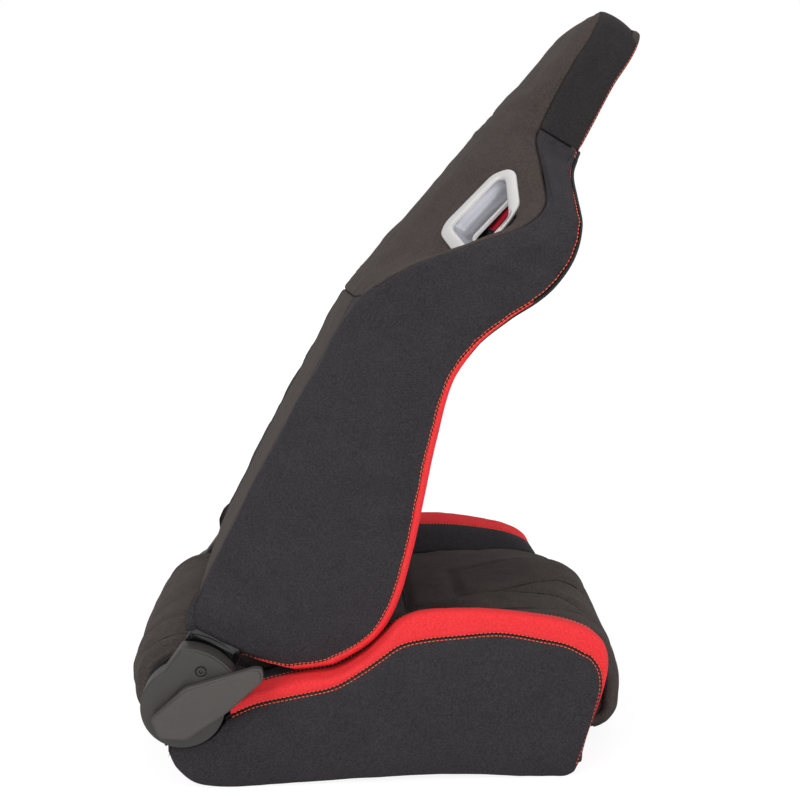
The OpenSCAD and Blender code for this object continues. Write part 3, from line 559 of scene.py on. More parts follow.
def material(name, **constants):
    """An empty principled material, its constants set; returns it with its tree and shader."""
    mat = bpy.data.materials.new(name)
    mat.use_nodes = True
    tree = mat.node_tree
    shader = next(n for n in tree.nodes if n.type == "BSDF_PRINCIPLED")
    for key, value in constants.items():
        shader.inputs[key.replace("_", " ")].default_value = value
    return mat, tree, shader


def mix_colour(tree, factor, a, b):
    """Mix of two colours by a factor."""
    return node(tree, "Mix", 2, {"data_type": "RGBA"}, i0=factor, i6=a, i7=b)


def cloth(name, colour, thread, pitch=1.25, sheen=0.25, rough=0.85, mottle=0.25, bump=0.5):
    """Woven cloth: height sin(2 pi u/p) sin(2 pi v/p) lifted by fibre noise, colour from base to thread."""
    mat, tree, shader = material(name, Sheen_Weight=sheen, Sheen_Roughness=0.45, Sheen_Tint=thread, IOR=1.35)
    uv = node(tree, "UVMap", 0, {"uv_map": "UVMap"})
    x, y = (node(tree, "SeparateXYZ", k, Vector=uv) for k in (0, 1))
    turn = 2 * math.pi / (pitch / METRE)
    weave = (x * turn).sin() * (y * turn).sin()
    place = node(tree, "TexCoord", 3)
    fibre = node(tree, "TexNoise", 0, Vector=place, Scale=1600.0, Detail=2.0)
    slow = node(tree, "TexNoise", 0, Vector=place, Scale=26.0, Detail=4.0, Roughness=0.6)
    mid = node(tree, "TexNoise", 0, Vector=place, Scale=260.0, Detail=3.0)
    speck = node(tree, "TexNoise", 0, Vector=place, Scale=520.0, Detail=1.0)
    tone = weave * 0.22 + fibre * 0.4 + slow * mottle + mid * 0.2 + (speck - 0.5) * 0.9 + 0.12
    tint = mix_colour(tree, node(tree, "Clamp", 0, Value=tone), colour, thread)
    plug(tree, shader.inputs["Base Color"], tint)
    plug(tree, shader.inputs["Roughness"], rough + (fibre - 0.5) * 0.15)
    height = weave * 0.5 + fibre * 0.6 + mid * 0.3
    grain = node(tree, "Bump", 0, None, Strength=bump, Distance=0.0004, Height=height)
    plug(tree, shader.inputs["Normal"], grain)
    return mat


def grained(name, colour, light, rough=0.45, scale=900.0, bump=0.25, metallic=0.0, coat=0.0, wear=0.3):
    """Moulded plastic, paint or brushed metal: fine cells for the grain, slow noise for handling marks."""
    mat, tree, shader = material(name, Metallic=metallic, Coat_Weight=coat, Coat_Roughness=0.12)
    place = node(tree, "TexCoord", 3)
    cells = node(tree, "TexVoronoi", 0, None, Vector=place, Scale=scale)
    slow = node(tree, "TexNoise", 0, Vector=place, Scale=38.0, Detail=5.0, Roughness=0.65)
    fine = node(tree, "TexNoise", 0, Vector=place, Scale=scale * 1.7, Detail=2.0)
    tone = slow * wear + fine * 0.35 + cells * 0.2
    tint = mix_colour(tree, node(tree, "Clamp", 0, Value=tone), colour, light)
    plug(tree, shader.inputs["Base Color"], tint)
    plug(tree, shader.inputs["Roughness"], rough + (slow - 0.5) * 0.18)
    height = cells * 0.6 + fine * 0.4
    grain = node(tree, "Bump", 0, None, Strength=bump, Distance=0.0003, Height=height)
    plug(tree, shader.inputs["Normal"], grain)
    return mat


COOL = cloth("cool_cloth", srgb(17, 16, 18), srgb(64, 60, 64), mottle=0.3)
WARM = cloth("warm_cloth", srgb(25, 21, 19), srgb(82, 72, 68), mottle=0.3)
DARK = cloth("dark_cloth", srgb(30, 26, 25), srgb(84, 75, 72), mottle=0.3)
RED = cloth("red_cloth", srgb(228, 24, 38), srgb(255, 72, 74), sheen=0.1, mottle=0.15)
HEAD_COOL = cloth("head_cloth", srgb(13, 12, 13), srgb(52, 47, 50), mottle=0.3)
# a darker copy of the red cloth: painted shade on the red insert beside the belt slot
SHADED_RED = cloth("red_cloth_painted_shade", srgb(138, 10, 28), srgb(190, 34, 58), sheen=0.1, mottle=0.15)
THREAD = grained("red_thread", srgb(238, 66, 38), srgb(255, 128, 92), rough=0.6, scale=2500.0)
DARK_THREAD = grained("dark_thread", srgb(14, 15, 15), srgb(40, 42, 42), rough=0.7, scale=2500.0)
SILVER = grained("silver_paint", srgb(190, 188, 187), srgb(220, 218, 217), rough=0.42, scale=2200.0, bump=0.06,
                 metallic=0.25, wear=0.2)
# the guide's silver made darker for its tunnel: painted shade in the recess
SHADED_SILVER = grained("silver_tunnel_painted_shade", srgb(160, 160, 168), srgb(200, 200, 208), rough=0.36, scale=2200.0, bump=0.06,
                 metallic=0.35, wear=0.2)
COVER = grained("cover_plastic", srgb(46, 43, 42), srgb(78, 74, 73), rough=0.5)
LEVER = grained("lever_plastic", srgb(58, 54, 52), srgb(92, 87, 85), rough=0.46)
GLOSS = grained("black_enamel", srgb(8, 8, 9), srgb(26, 26, 28), rough=0.16, scale=400.0, bump=0.03, coat=0.6)
PAINT = grained("frame_paint", srgb(20, 20, 22), srgb(44, 44, 47), rough=0.42, scale=700.0, bump=0.12)
ZINC = grained("zinc_plate", srgb(120, 122, 126), srgb(178, 180, 184), rough=0.34, scale=600.0, bump=0.06,
               metallic=0.85)
STEEL = grained("hinge_steel", srgb(84, 86, 90), srgb(140, 142, 146), rough=0.32, scale=800.0, bump=0.08,
                metallic=0.9)
print("materials:", len(bpy.data.materials))

# %% [markdown]
# ## The back's sections
# Each station is half a section of the back: rear inner edge A, rear corner B, widest point C,
# front edge D, inner edge of the coloured strip E and foot on the middle pad G, as (y, w) pairs.
# The stations of the head follow on in the same columns, so the cloth runs on smoothly at the neck.
# Sculpting would give one lucky shape; a table of measured stations can be corrected line by line.

# %% Stations of the back
GY = 234.0 - 68  # foot of the bolster: half the width of the back less the bolster's depth
# height u, then A, B, C, D, E and G as y, w each, then the hollow of the rear face
BACK = np.array([
    [68, 178, -20, 200, -16, 222, 15, 222, 46, 210, 54, GY, 38, 0],
    [80, 172, -31, 206, -31, 229, 20, 230, 92, 216, 93, GY, 44, 0],
    [106, 170, -37, 211, -35, 233, 28, 233, 130, 217, 129, GY, 50, 0],
    [150, 170, -37, 214, -35, 234, 40, 234, 158, 217, 153, GY, 56, 0],
    [190, 170, -37, 215, -36, 234, 45, 234, 164, 216, 158, GY, 60, 0],
    [250, 170, -37, 215, -36, 234, 45, 235, 154, 217, 147, GY, 62, 0],
    [320, 170, -35, 215, -34, 235, 40, 236, 135, 218, 130, GY - 1, 60, 0],
    [390, 168, -32, 216, -31, 237, 35, 239, 116, 222, 111, GY - 4, 57, 0],
    [450, 158, -30, 219, -29, 242, 35, 245, 103, 228, 99, GY - 10, 55, 0],
    [500, 128, -27, 224, -18, 249, 48, 252, 110, 236, 106, GY - 17, 54, 3],
    [540, 103, -19, 234, 6, 257, 68, 259, 127, 243, 119, GY - 22, 54, 10],
    [575, 92, -12, 240, 38, 262, 90, 263, 146, 247, 133, GY - 25, 56, 14],
    [605, 88, -3, 244, 68, 265, 112, 264, 154, 248, 140, GY - 26, 61, 8],
    [635, 88, 5, 243, 96, 264, 130, 262, 155, 246, 142, GY - 26, 69, -1],
    [665, 88, 13, 226, 108, 249, 132, 248, 149, 236, 137, GY - 26, 79, -7],
    [690, 88, 19, 193, 102, 215, 119, 221, 136, 210, 126, GY - 26, 94, -12],
    [715, 88, 27, 164, 89, 179, 107, 184, 127, 175, 119, GY - 27, 111, -9],
    [738, 80, 31, 140, 77, 145, 101, 146, 129, 143, 124, 137, 123, -6],
    [752, 70, 35, 137, 75, 140, 102, 139, 129, 130, 129, 66, 131, -7],
    [765, 62, 38, 134, 75, 138, 102, 137, 129, 124, 130, 62, 133, -8],
    [800, 61, 48, 133, 75, 137, 102, 136, 130, 122, 131, 61, 134, -8],
    [840, 60, 58, 131, 77, 135, 104, 134, 131, 120, 132, 60, 135, -7],
    [870, 58, 65, 128, 81, 132, 107, 131, 135, 117, 136, 59, 138, -7],
    [892, 56, 72, 121, 82, 125, 109, 123, 136, 110, 137, 56, 139, -5],
    [922, 56, 86, 121, 91, 125, 109, 123, 130, 110, 131, 56, 133, -2],
])
# how much the middle of the rear face stands out, by height
CROWN = np.array([[68, 1], [250, 1], [390, 5], [470, 8.5], [486, 8.5], [505, 4], [530, 3], [600, 3], [665, 4],
                  [715, 6], [765, 5], [922, 4]], float)


def station_points(u):
    """The (y, w) points A, B, C, D, E, G of the sections at heights u, and the hollow of the rear face."""
    r = stations(BACK, u)
    return [r[..., k:k + 2] for k in range(1, 13, 2)], r[..., 13:14]


def outside(u, t):
    """Outer skin of the back at heights u and t from 0 at A over B (1/3) and C (2/3) to 1 at D."""
    u, t = np.broadcast_arrays(np.asarray(u, float), np.asarray(t, float))
    (A, B, C, D, _, _), hollow = station_points(u.ravel())
    q = A + 0.62 * (B - A) + hollow * [0, 1]
    lead = A - np.linalg.norm(q - A, axis=-1, keepdims=True) * [1, 0]
    ctrl = np.stack([lead, A, q, B, (B + C) / 2 + [3, -2], C, (C + D) / 2 + [1, 0], D], 1)
    yw = across(ctrl, (1 + 6 * t.ravel()[:, None]) / 7)[:, 0]
    return leant(yw[:, 1], yw[:, 0], u.ravel()).reshape(u.shape + (3,))


# how far the side seam lies behind the front edge, by height
STRIP = np.array([[68, 9], [360, 8], [430, 6], [520, 5], [569, 4.0], [610, 2.0], [700, 1.6], [748, 0.8]], float)


def strip_width(u):
    """How far the side seam lies behind the front edge D, along C-D: 9 mm at the foot, almost 0 at the neck."""
    return np.interp(u, STRIP[:, 0], STRIP[:, 1])


def strip_skin(u, t):
    """Front strip at heights u: from the side seam, strip_width behind D, round the edge to E at t = 1."""
    u, t = np.broadcast_arrays(np.asarray(u, float), np.asarray(t, float))
    (_, _, C, D, E, _), _ = station_points(u.ravel())
    k = strip_width(u.ravel())[:, None] / np.maximum(np.linalg.norm(D - C, axis=-1, keepdims=True), 12)
    s0 = D + (C - D) * k
    puff = np.minimum(np.linalg.norm(E - D, axis=-1, keepdims=True) / 14, 1)
    puff = puff * np.interp(u.ravel(), [430, 540], [1, 0.35])[:, None]
    ctrl = np.stack([s0, D + (C - D) * k * 0.35 + puff * [0.5, 0], D + 0.28 * (E - D) + puff * [0, 3.0],
                     D + 0.55 * (E - D) + puff * [0, 2.4], E], 1)
    yw = across(ctrl, t.ravel()[:, None])[:, 0]
    return leant(yw[:, 1], yw[:, 0], u.ravel()).reshape(u.shape + (3,))


def inner_skin(u, t):
    """Inner face of a bolster at heights u, from E at t = 0 to its foot G at t = 1."""
    u, t = np.broadcast_arrays(np.asarray(u, float), np.asarray(t, float))
    (_, _, _, _, E, G), _ = station_points(u.ravel())
    puff = np.minimum(np.linalg.norm(E - G, axis=-1, keepdims=True) / 60, 1)
    ctrl = np.stack([E, E * 0.75 + G * 0.25 + puff * [3, 1.5], (E + G) / 2 + puff * [4, 0],
                     E * 0.25 + G * 0.75 + puff * [2, -1], G], 1)
    yw = across(ctrl, t.ravel()[:, None])[:, 0]
    return leant(yw[:, 1], yw[:, 0], u.ravel()).reshape(u.shape + (3,))


T_B = 1 / 3  # t of the rear corner B on the outer skin
CROSS_LOW, CROSS_HIGH = 482.0, 506.0
# the seam across below the shoulder, as height and t, from the middle panel to the rear corner
CROSS = np.array([[480.0, 0.0], [483, 0.02], [485, 0.06], [488, 0.12], [494, 0.22], [501, 0.31], [506, 0.334],
                  [514, T_B]])


def cross_height(t):
    """Height of the seam that runs across below the shoulder, at t from 0 at A to 1/3 at B."""
    return np.interp(t, CROSS[:, 1], CROSS[:, 0])


print("widest place of the back:", BACK[:, 6].max() * 2, "mm, at height", BACK[BACK[:, 6].argmax(), 0])

# %% [markdown]
# ## Side cloths of the back
# The big side cloth is bounded behind by the rear seam, which turns across below the shoulder and
# runs up over it as the crest seam, and in front by the coloured strip. Its rows join matching
# places of these two borders, so the grid fans out round the corner instead of folding over it.

# %% Side cloths
def polyline(points, n_or_t):
    """Points along a plain polyline at equal or given fractions of its length."""
    p = np.asarray(points, float)
    run = np.concatenate([[0], np.linalg.norm(np.diff(p, axis=0), axis=1).cumsum()])
    t = np.linspace(0, 1, n_or_t) if np.isscalar(n_or_t) else np.asarray(n_or_t)
    return np.stack([np.interp(t * run[-1], run, p[:, k]) for k in range(p.shape[1])], -1)


def front_limit(u):
    """t of the side seam: the place on C-D that lies strip_width behind D."""
    (_, _, C, D, _, _), _ = station_points(u)
    return 1 - strip_width(u) / np.maximum(np.linalg.norm(D - C, axis=-1), 12) / 3


def yu_of(grid):
    """(|y|, u) of world points of the back."""
    x, z = grid[..., 0] - HINGE_X, grid[..., 2] - HINGE_Z
    return np.stack([np.abs(grid[..., 1]), x * math.sin(LEAN) + z * math.cos(LEAN)], -1)


def w_of(grid):
    """Forward distance w of world points of the back."""
    return (grid[..., 0] - HINGE_X) * math.cos(LEAN) - (grid[..., 2] - HINGE_Z) * math.sin(LEAN)


NECK = 748.0
ARM_Y, LAP_LOW = 232.5, 78.0  # the recliner arm's outer face, and where the cloth's lap over it begins
T_LENGTH = np.array([1.0, 240.0])  # t from 0 to 1 runs over about 240 mm of cloth
rear_uv = np.array([[u, 0] for u in (68, 110, 200, 300, 400, 470)] + CROSS.tolist()
                   + [[u, T_B] for u in (540, 600, 660, 700, 751)])
s = steps(690, 4.0)
rear_border = polyline(rear_uv * T_LENGTH, s) / T_LENGTH
front_u = np.interp(s, [0, 0.12, 0.6, 0.78, 1.0], [68, 120, 470, 590, NECK])
t = steps(240, 4.0)
uu = rear_border[:, :1] * (1 - t) + front_u[:, None] * t
tt = rear_border[:, 1:] * (1 - t) + front_limit(front_u)[:, None] * t
side_grid = outside(uu, tt)
yu, w = yu_of(side_grid), w_of(side_grid)
over = (smooth_step(w, -46, -30) * smooth_step(-w, -62, -40) * smooth_step(yu[..., 1], LAP_LOW - 6, LAP_LOW + 2)
        * smooth_step(-yu[..., 1], -150, -100))
side_grid[..., 1] += np.maximum(0, ARM_Y + 4.5 - side_grid[..., 1]) * over
CENTRE = leant(40, 0, 420)  # a place inside the back, which all its cloths face away from
for hand, flip in HANDS:
    panel(f"back_side_cloth_{hand}", flip(side_grid), CENTRE, COOL, "backrest",
          stands_for=(f"back_bolster_{hand}",), relief=0.5, seed=3, drape=0.5)

# %% [markdown]
# ## Coloured strips and inner cloths of the back
# The strip rolls round the front edge. It is red up to the shoulder and black above, cut there by
# a cross seam. The inner cloth falls from it to the middle pad, in three lengths: black, red cloth
# darkened as painted shade beside the belt slot, and black at the neck. The slot is a hole in the grid itself:
# points inside its outline move onto it and the faces between them are left out, which a Boolean would do with
# long thin triangles.

# %% Strips and inner cloths
STRIP_TOP, RED_INSERT, PAD_TOP = 566.0, 619.0, 737.0
for name, lo, hi, finish, slot in (("back_strip", 69, STRIP_TOP, RED, "fabric_red"),
                                   ("shoulder_strip", STRIP_TOP, PAD_TOP, COOL, "fabric_cool")):
    su = lo + (hi - lo) * steps(hi - lo, 4.0)[:, None]
    st = steps(28, 2.5)[None]
    for hand, flip in HANDS:
        panel(f"{name}_{hand}", flip(strip_skin(su, st)), CENTRE, finish, "backrest", relief=0.15,
              swell=0.5, thick=4.0, seed=5)
# The slot's hole and the rim of its guide, as y, u of their corners, and the plane of the rear flange.
SLOT_HOLE = np.array([[209, 587], [171, 602], [159, 674], [165, 678], [203, 641], [206, 634],
                      [213, 600]], float)
SLOT_RIM = np.array([[202, 575], [169, 589], [161, 604], [150, 678], [157, 691], [167, 690],
                     [203, 656], [211, 634], [217, 612], [213, 590]], float)
SLOT_MID = np.array([186.0, 634.0])
FLANGE_W, FLANGE_N = 61.7, np.array([-0.7112, 0.6204, 0.3305])
CORNER_R = 7.0


def outline(points, d=0.0, n=160):
    """Closed outline through points (y, u), its corners rounded off, grown by d from its middle."""
    p = np.asarray(points, float)
    p = p + d * (p - SLOT_MID) / np.linalg.norm(p - SLOT_MID, axis=1, keepdims=True)
    start, end = (p + np.minimum(CORNER_R / np.linalg.norm(q - p, axis=1, keepdims=True), 0.42) * (q - p)
                  for q in (np.roll(p, 1, 0), np.roll(p, -1, 0)))
    f = np.linspace(0, 1, 7)[None, :, None]
    loop = ((1 - f) ** 2 * start[:, None] + 2 * f * (1 - f) * p[:, None] + f**2 * end[:, None]).reshape(-1, 2)
    return polyline(np.concatenate([loop, loop[:1]]), n)


def inside_loop(points, loop):
    """True inside a closed loop: an odd number of edges crossed by the ray towards +y."""
    y, u = points[..., 0, None], points[..., 1, None]
    y0, u0 = loop[:-1].T
    y1, u1 = loop[1:].T
    hit = (u0 > u) != (u1 > u)
    at = y0 + (u - u0) * (y1 - y0) / np.where(np.abs(u1 - u0) < 1e-9, 1e-9, u1 - u0)
    return (hit & (y < at)).sum(-1) % 2 == 1


def loop_distance(points, loop):
    """Distance from points (y, u) to a loop and the nearest place on it."""
    a, e = loop[:-1], np.diff(loop, axis=0)
    flat = points.reshape(-1, 2)
    p = flat[:, None] - a
    f = np.clip((p * e).sum(2) / (e * e).sum(1), 0, 1)[..., None]
    gap = p - f * e
    d = np.sqrt((gap**2).sum(2))
    k = d.argmin(1)
    r = np.arange(len(flat))
    return d[r, k].reshape(points.shape[:-1]), (a[k] + f[r, k] * e[k]).reshape(points.shape)


def cut_slot(grid, loop):
    """Moves the points inside the loop onto it, keeping their w; returns the grid and the mask of those."""
    yu, w = yu_of(grid), w_of(grid)
    inner = inside_loop(yu, loop)
    _, near = loop_distance(yu[inner], loop)
    out = grid.copy()
    moved = leant(w[inner], near[..., 0], near[..., 1])
    moved[..., 1] *= np.sign(grid[inner][..., 1])
    out[inner] = moved
    return out, inner


def flange_plane(yu):
    """Forward distance w of the plane that the rear flange lies on, from n . (w - w0, y - y0, u - u0) = 0."""
    return FLANGE_W - ((yu - SLOT_MID) @ FLANGE_N[1:]) / FLANGE_N[0]


def under_flange(grid, room=20.0, below=2.5):
    """Presses cloth onto the plane under the flange, easing back to its own height over room mm outside."""
    yu, w = yu_of(grid), w_of(grid)
    rim = outline(SLOT_RIM)
    near = (np.abs(yu - SLOT_MID) < 90).all(-1)
    gap = np.full(w.shape, FAR)
    gap[near] = np.where(inside_loop(yu[near], rim), 0.0, loop_distance(yu[near], rim)[0])
    ease = smooth_step(gap, 1.5, room)
    pressed = leant((flange_plane(yu) + below) * (1 - ease) + w * ease, grid[..., 1], yu[..., 1])
    return np.where((gap < room)[..., None], pressed, grid)


# the shoulder insert is the red cloth darkened to paint its shade
for name, lo, hi, finish, slot in (("back_inner_cloth", 70, RED_INSERT, COOL, "fabric_cool"),
                                   ("shoulder_insert", RED_INSERT, 700.0, SHADED_RED, "fabric_red"),
                                   ("neck_insert", 700.0, PAD_TOP, COOL, "fabric_cool")):
    inner_u = lo + (hi - lo) * steps(hi - lo, 4.5)[:, None]
    inner_grid = inner_skin(inner_u, steps(110, 4.5)[None])
    inner_grid, inner_cut = cut_slot(inner_grid, outline(SLOT_HOLE, 4.0))
    for hand, flip in HANDS:
        panel(f"{name}_{hand}", flip(inner_grid), flip(leant(-20, 260, 400)), finish, "backrest",
              inside=inner_cut, seed=6, thick=3.0, relief=0.2)

# %% [markdown]
# ## Belt guides
# The silver guide is a moulded bezel with a short tunnel for the belt. A bevelled box would give
# the same soft edge everywhere, so instead one closed section is carried round the hole: the
# bevelled rim, the flat flange, a round inner corner, the tunnel wall and its back. Each row is
# (share of the way from the hole to the rim, mm beyond that, height over the flange plane, depth
# along the tunnel).

# %% Guides
GUIDE = np.array([
    [1, 0, -2.5, 0], [1, 0, 0.5, 0], [1, -0.4, 1.2, 0], [1, -1.3, 1.6, 0], [0.5, 0, 1.6, 0], [0, 3.6, 1.6, 0],
    [0, 2.4, 1.2, 0], [0, 1.2, 0.4, 0], [0, 0.4, -0.9, 0], [0, 0, -2.6, 0], [0, 0, -2.6, 7], [0, 0, -2.6, 22.8],
    [0, 0.3, -2.6, 23.0], [0, 1.6, -2.6, 23.0], [0, 1.9, -2.6, 22.8], [0, 1.9, -2.6, 0]], float)
# from this row on, the tunnel takes the darker silver, which paints the shade in the recess
TUNNEL_SHADE_FROM = 8  # the row of GUIDE at which the darker tunnel begins


def guide_ring():
    """The guide of the left slot as rings of points, one ring per row of GUIDE."""
    angle = np.linspace(-math.pi, math.pi, 220, endpoint=False)

    def radius(points):
        loop = outline(points, n=900)[:-1] - SLOT_MID
        turn = np.arctan2(loop[:, 1], loop[:, 0])
        order = np.argsort(turn)
        return np.interp(angle, turn[order], np.linalg.norm(loop, axis=1)[order], period=2 * math.pi)

    near, far = radius(SLOT_HOLE), radius(SLOT_RIM)
    out = np.stack([np.cos(angle), np.sin(angle)], -1)
    rings = []
    for share, more, height, deep in GUIDE:
        yu = SLOT_MID + out * (near + share * (far - near) + more)[:, None]
        w = flange_plane(yu) + height * FLANGE_N[0] + deep
        rings.append(leant(w, yu[:, 0] + height * FLANGE_N[1], yu[:, 1] + height * FLANGE_N[2]))
    return np.stack(rings)


rings = guide_ring()
for hand, sign in (("left", 1.0), ("right", -1.0)):
    m, n = rings.shape[:2]
    i, j = np.meshgrid(np.arange(m), np.arange(n), indexing="ij")
    quads = np.stack([((i + a) % m * n + (j + b) % n).ravel() for a, b in ((0, 0), (1, 0), (1, 1), (0, 1))], -1)
    ob = new_mesh(f"belt_guide_{hand}_finished", (rings * [1, sign, 1]).reshape(-1, 3), quads[:, ::int(sign)])
    dressed(ob, SILVER, "backrest", [f"belt_guide_{hand}"])
    # the tunnel faces get the darker silver as painted shade
    ob.data.materials.append(SHADED_SILVER)
    ob.data.polygons.foreach_set("material_index", (i.ravel() >= TUNNEL_SHADE_FROM).astype(np.int32))
    bm = bmesh.new()
    bm.from_mesh(ob.data)
    print(ob.name, "volume", round(bm.calc_volume(signed=True) * 1e9), "mm3")
    bm.free()

# %% [markdown]
# ## Rear cloths
# Below, a flat warm-grey cloth covers the hard shell. Above the cross seam one big cloth goes over
# both shoulders and up the head, with a hole for each belt slot whose edge is tucked under the
# silver guide. Both come from the same sections as the side cloths, so they meet them at every
# height. Where the middle passes into the shoulders the rows are averaged, as stretched cloth
# would lie.

# %% Rear cloths
def middle_rear(u, v):
    """Rear face between the two A edges: v from -1 to 1 across, its middle prouder by crown (1 - v^2)."""
    u, v = np.broadcast_arrays(np.asarray(u, float), np.asarray(v, float))
    (A, *_), _ = station_points(u.ravel())
    y = v.ravel() * A[:, 0]
    w = A[:, 1] - np.interp(u.ravel(), CROWN[:, 0], CROWN[:, 1]) * (1 - v.ravel() ** 2)
    return leant(w, y, u.ravel()).reshape(u.shape + (3,))


low_u = 80 + (CROSS_LOW - 80) * steps(402, 5.0)[:, None]
panel("rear_cloth_low", middle_rear(low_u, 2 * steps(330, 5.0)[None] - 1), CENTRE, WARM,
      "backrest", stands_for=("rear_panel",), relief=0.35, seed=7)

HEAD_SIDE = 892.0  # height at which the head's straight side ends
HEAD_TOP = np.array([[0, 921], [35, 920.5], [65, 919], [89, 914], [104, 908], [114, 901],
                     [121, HEAD_SIDE]], float)


def head_top(y):
    """Height of the head's rounded top at y."""
    return np.interp(y, HEAD_TOP[:, 0], HEAD_TOP[:, 1])


half_row = steps(300, 4.0, start=False)
lateral = np.concatenate([-half_row[::-1], half_row[1:]])[None]
rows = steps(440, 4.0)[:, None]
reach_out = np.abs(lateral)
ring_t = (np.maximum(reach_out, T_B) - T_B) / 2
base_u = np.where(reach_out <= T_B, CROSS_LOW, cross_height(ring_t))
base_u = np.where(reach_out > 0.999, CROSS_HIGH, base_u)
head_half = np.abs(yu_of(outside(np.full_like(reach_out, HEAD_SIDE), ring_t))[..., 0])
head_y = head_half * np.minimum(reach_out * 3, 1)
u_rear = base_u + (head_top(head_y) - base_u) * rows
w_side = outside(u_rear, ring_t + 0 * rows)
w_mid = middle_rear(u_rear, 3 * reach_out + 0 * rows)
rear_grid = np.where((reach_out > T_B)[..., None], w_side, w_mid)
rear_grid[..., 1] *= np.sign(lateral + 1e-12)
soft = rear_grid.copy()
for _ in range(60):  # rounds of averaging, along the rows only
    soft[:, 1:-1] += 0.5 * ((soft[:, :-2] + soft[:, 2:]) / 2 - soft[:, 1:-1])
hold = (smooth_step(rows, 0.02, 0.1) * smooth_step(1 - reach_out, 0.02, 0.12))[..., None]
rear_grid = under_flange(rear_grid * (1 - hold) + soft * hold)
near_slot = 1 - smooth_step(np.linalg.norm(yu_of(rear_grid) - SLOT_MID, axis=-1), 75, 110)
rear_grid, rear_cut = cut_slot(rear_grid, outline(SLOT_HOLE, 8.0))
panel("rear_cloth_high", rear_grid, CENTRE, WARM, "backrest", inside=rear_cut,
      stands_for=("upper_rear_panel", "shoulder_wing_left", "shoulder_wing_right"), relief=0.5, seed=8,
      drape=0.4 * (1 - near_slot))

# %% [markdown]
# ## Head section
# A gusset runs up one side of the head, over the top and down the other, between the rear cloth
# and the front cloth. Its two borders are the same lines as theirs, so no gap can open; the top is
# a ruled surface between them, raised a little, and the sides are the back's own outer skin.

# %% Head cloths
def front_drop(y, drop):
    """How much lower than the rear the head's front border lies: drop along the top, nothing at its corners."""
    return drop * np.interp(y, [0, 104, 121], [1, 1, 0])


def head_rim(v, top_w, side_t, lowest, drop):
    """Border of the head from the right neck (v = -1) over the top, which lies drop lower, to the left."""
    a = np.abs(v)
    u = np.interp(a, [0, 0.42, 0.5, 1.0], [922, 914, HEAD_SIDE, lowest])
    side = outside(np.minimum(u, HEAD_SIDE), np.full_like(u, side_t))
    y = np.interp(a, [0, 0.14, 0.27, 0.36, 0.42, 0.46, 0.5], [0, 35, 65, 89, 104, 114, 121])
    top_edge = np.interp(a, [0, 0.5], [top_w, w_of(outside(HEAD_SIDE, side_t))])
    line = np.where((a < 0.5)[:, None], leant(top_edge, y, head_top(y) - front_drop(y, drop)), side)
    line[:, 1] *= np.sign(v + 1e-12)
    return line


v = 2 * steps(620, 4.0) - 1
FRONT_DROP = 5.0
rear_rim, front_rim = head_rim(v, 87.0, T_B, 751.0, 0.0), head_rim(v, 130.0, 1.0, NECK, FRONT_DROP)
ct = steps(60, 4.0)[None]
lean_u = yu_of(rear_rim)[:, 1:] * (1 - ct) + yu_of(front_rim)[:, 1:] * ct
gusset_side = outside(np.minimum(lean_u, HEAD_SIDE), (1 + 2 * ct) / 3 + 0 * lean_u)
gusset_side[..., 1] *= np.sign(v + 1e-12)[:, None]
outward = np.cross(np.gradient(front_rim + rear_rim, axis=0), leant(1, 0, 0) - leant(0, 0, 0))
outward /= np.linalg.norm(outward, axis=1, keepdims=True)
outward *= np.sign((outward * (rear_rim - leant(100, 0, 780))).sum(1, keepdims=True))
bulge = (4 * ct * (1 - ct))[..., None]
gusset_top = (rear_rim[:, None] * (1 - ct[..., None]) + front_rim[:, None] * ct[..., None]
              + 3.0 * bulge * outward[:, None])
round_top = smooth_step(np.abs(v), 0.46, 0.56)[:, None, None]
gusset = gusset_top * (1 - round_top) + gusset_side * round_top
HEAD_CORE = leant(105, 0, 810)
panel("head_gusset", gusset, HEAD_CORE, HEAD_COOL, "backrest", relief=0.4, seed=10,
      stands_for=("head_pad",))
half_row = steps(150, 4.0, start=False)
fv = np.concatenate([-half_row[::-1], half_row[1:]])[None]
fr = steps(190, 4.0)[:, None]
side_u = PAD_TOP + 1 + (HEAD_SIDE - 1 - PAD_TOP) * fr
rim_y = 121 * np.abs(fv)
u_front = side_u + (head_top(rim_y) - front_drop(rim_y, FRONT_DROP) - HEAD_SIDE) * fr**2
(_, _, _, D, E, G), _ = station_points(u_front.ravel())
ctrl = np.stack([G * [0, 1] + [0, 1], G * [0.5, 1] + [0, 1], G, E, D], 1)
yw = across(ctrl, np.abs(fv + 0 * fr).ravel()[:, None])[:, 0]
tuck = 1 - smooth_step(u_front.ravel(), 738, 757)  # the cloth draws in where the head meets the neck
front_grid = leant(yw[:, 1] - 9 * tuck, yw[:, 0] * (1 - 0.14 * tuck), u_front.ravel())
front_grid = front_grid.reshape(u_front.shape + (3,))
front_grid[..., 1] *= np.sign(fv + 1e-12)
panel("head_front_cloth", front_grid, HEAD_CORE, DARK, "backrest", relief=0.4, seed=11)

# %% [markdown]
# ## Middle pad of the back
# Two long seams split the pad in a middle panel and two strips, and cross seams quilt it. Foam
# under quilting bulges between its seams, so the crown across the width is a formula and the
# seams are lines laid on the same grid.

# %% Back pad
PAD_SEAM = 0.74  # place of the long seams, as a share of the half width


def bumps(v):
    """Crown of a pad across its width, v from -1 to 1: 5 + 5 cos in the middle, then falling by 9 mm."""
    a = np.abs(v)
    return np.where(a > PAD_SEAM, 5 - 9 * (a - PAD_SEAM) / 0.26,
                    5 + 5 * np.cos(0.5 * math.pi * np.minimum(a / PAD_SEAM, 1)))


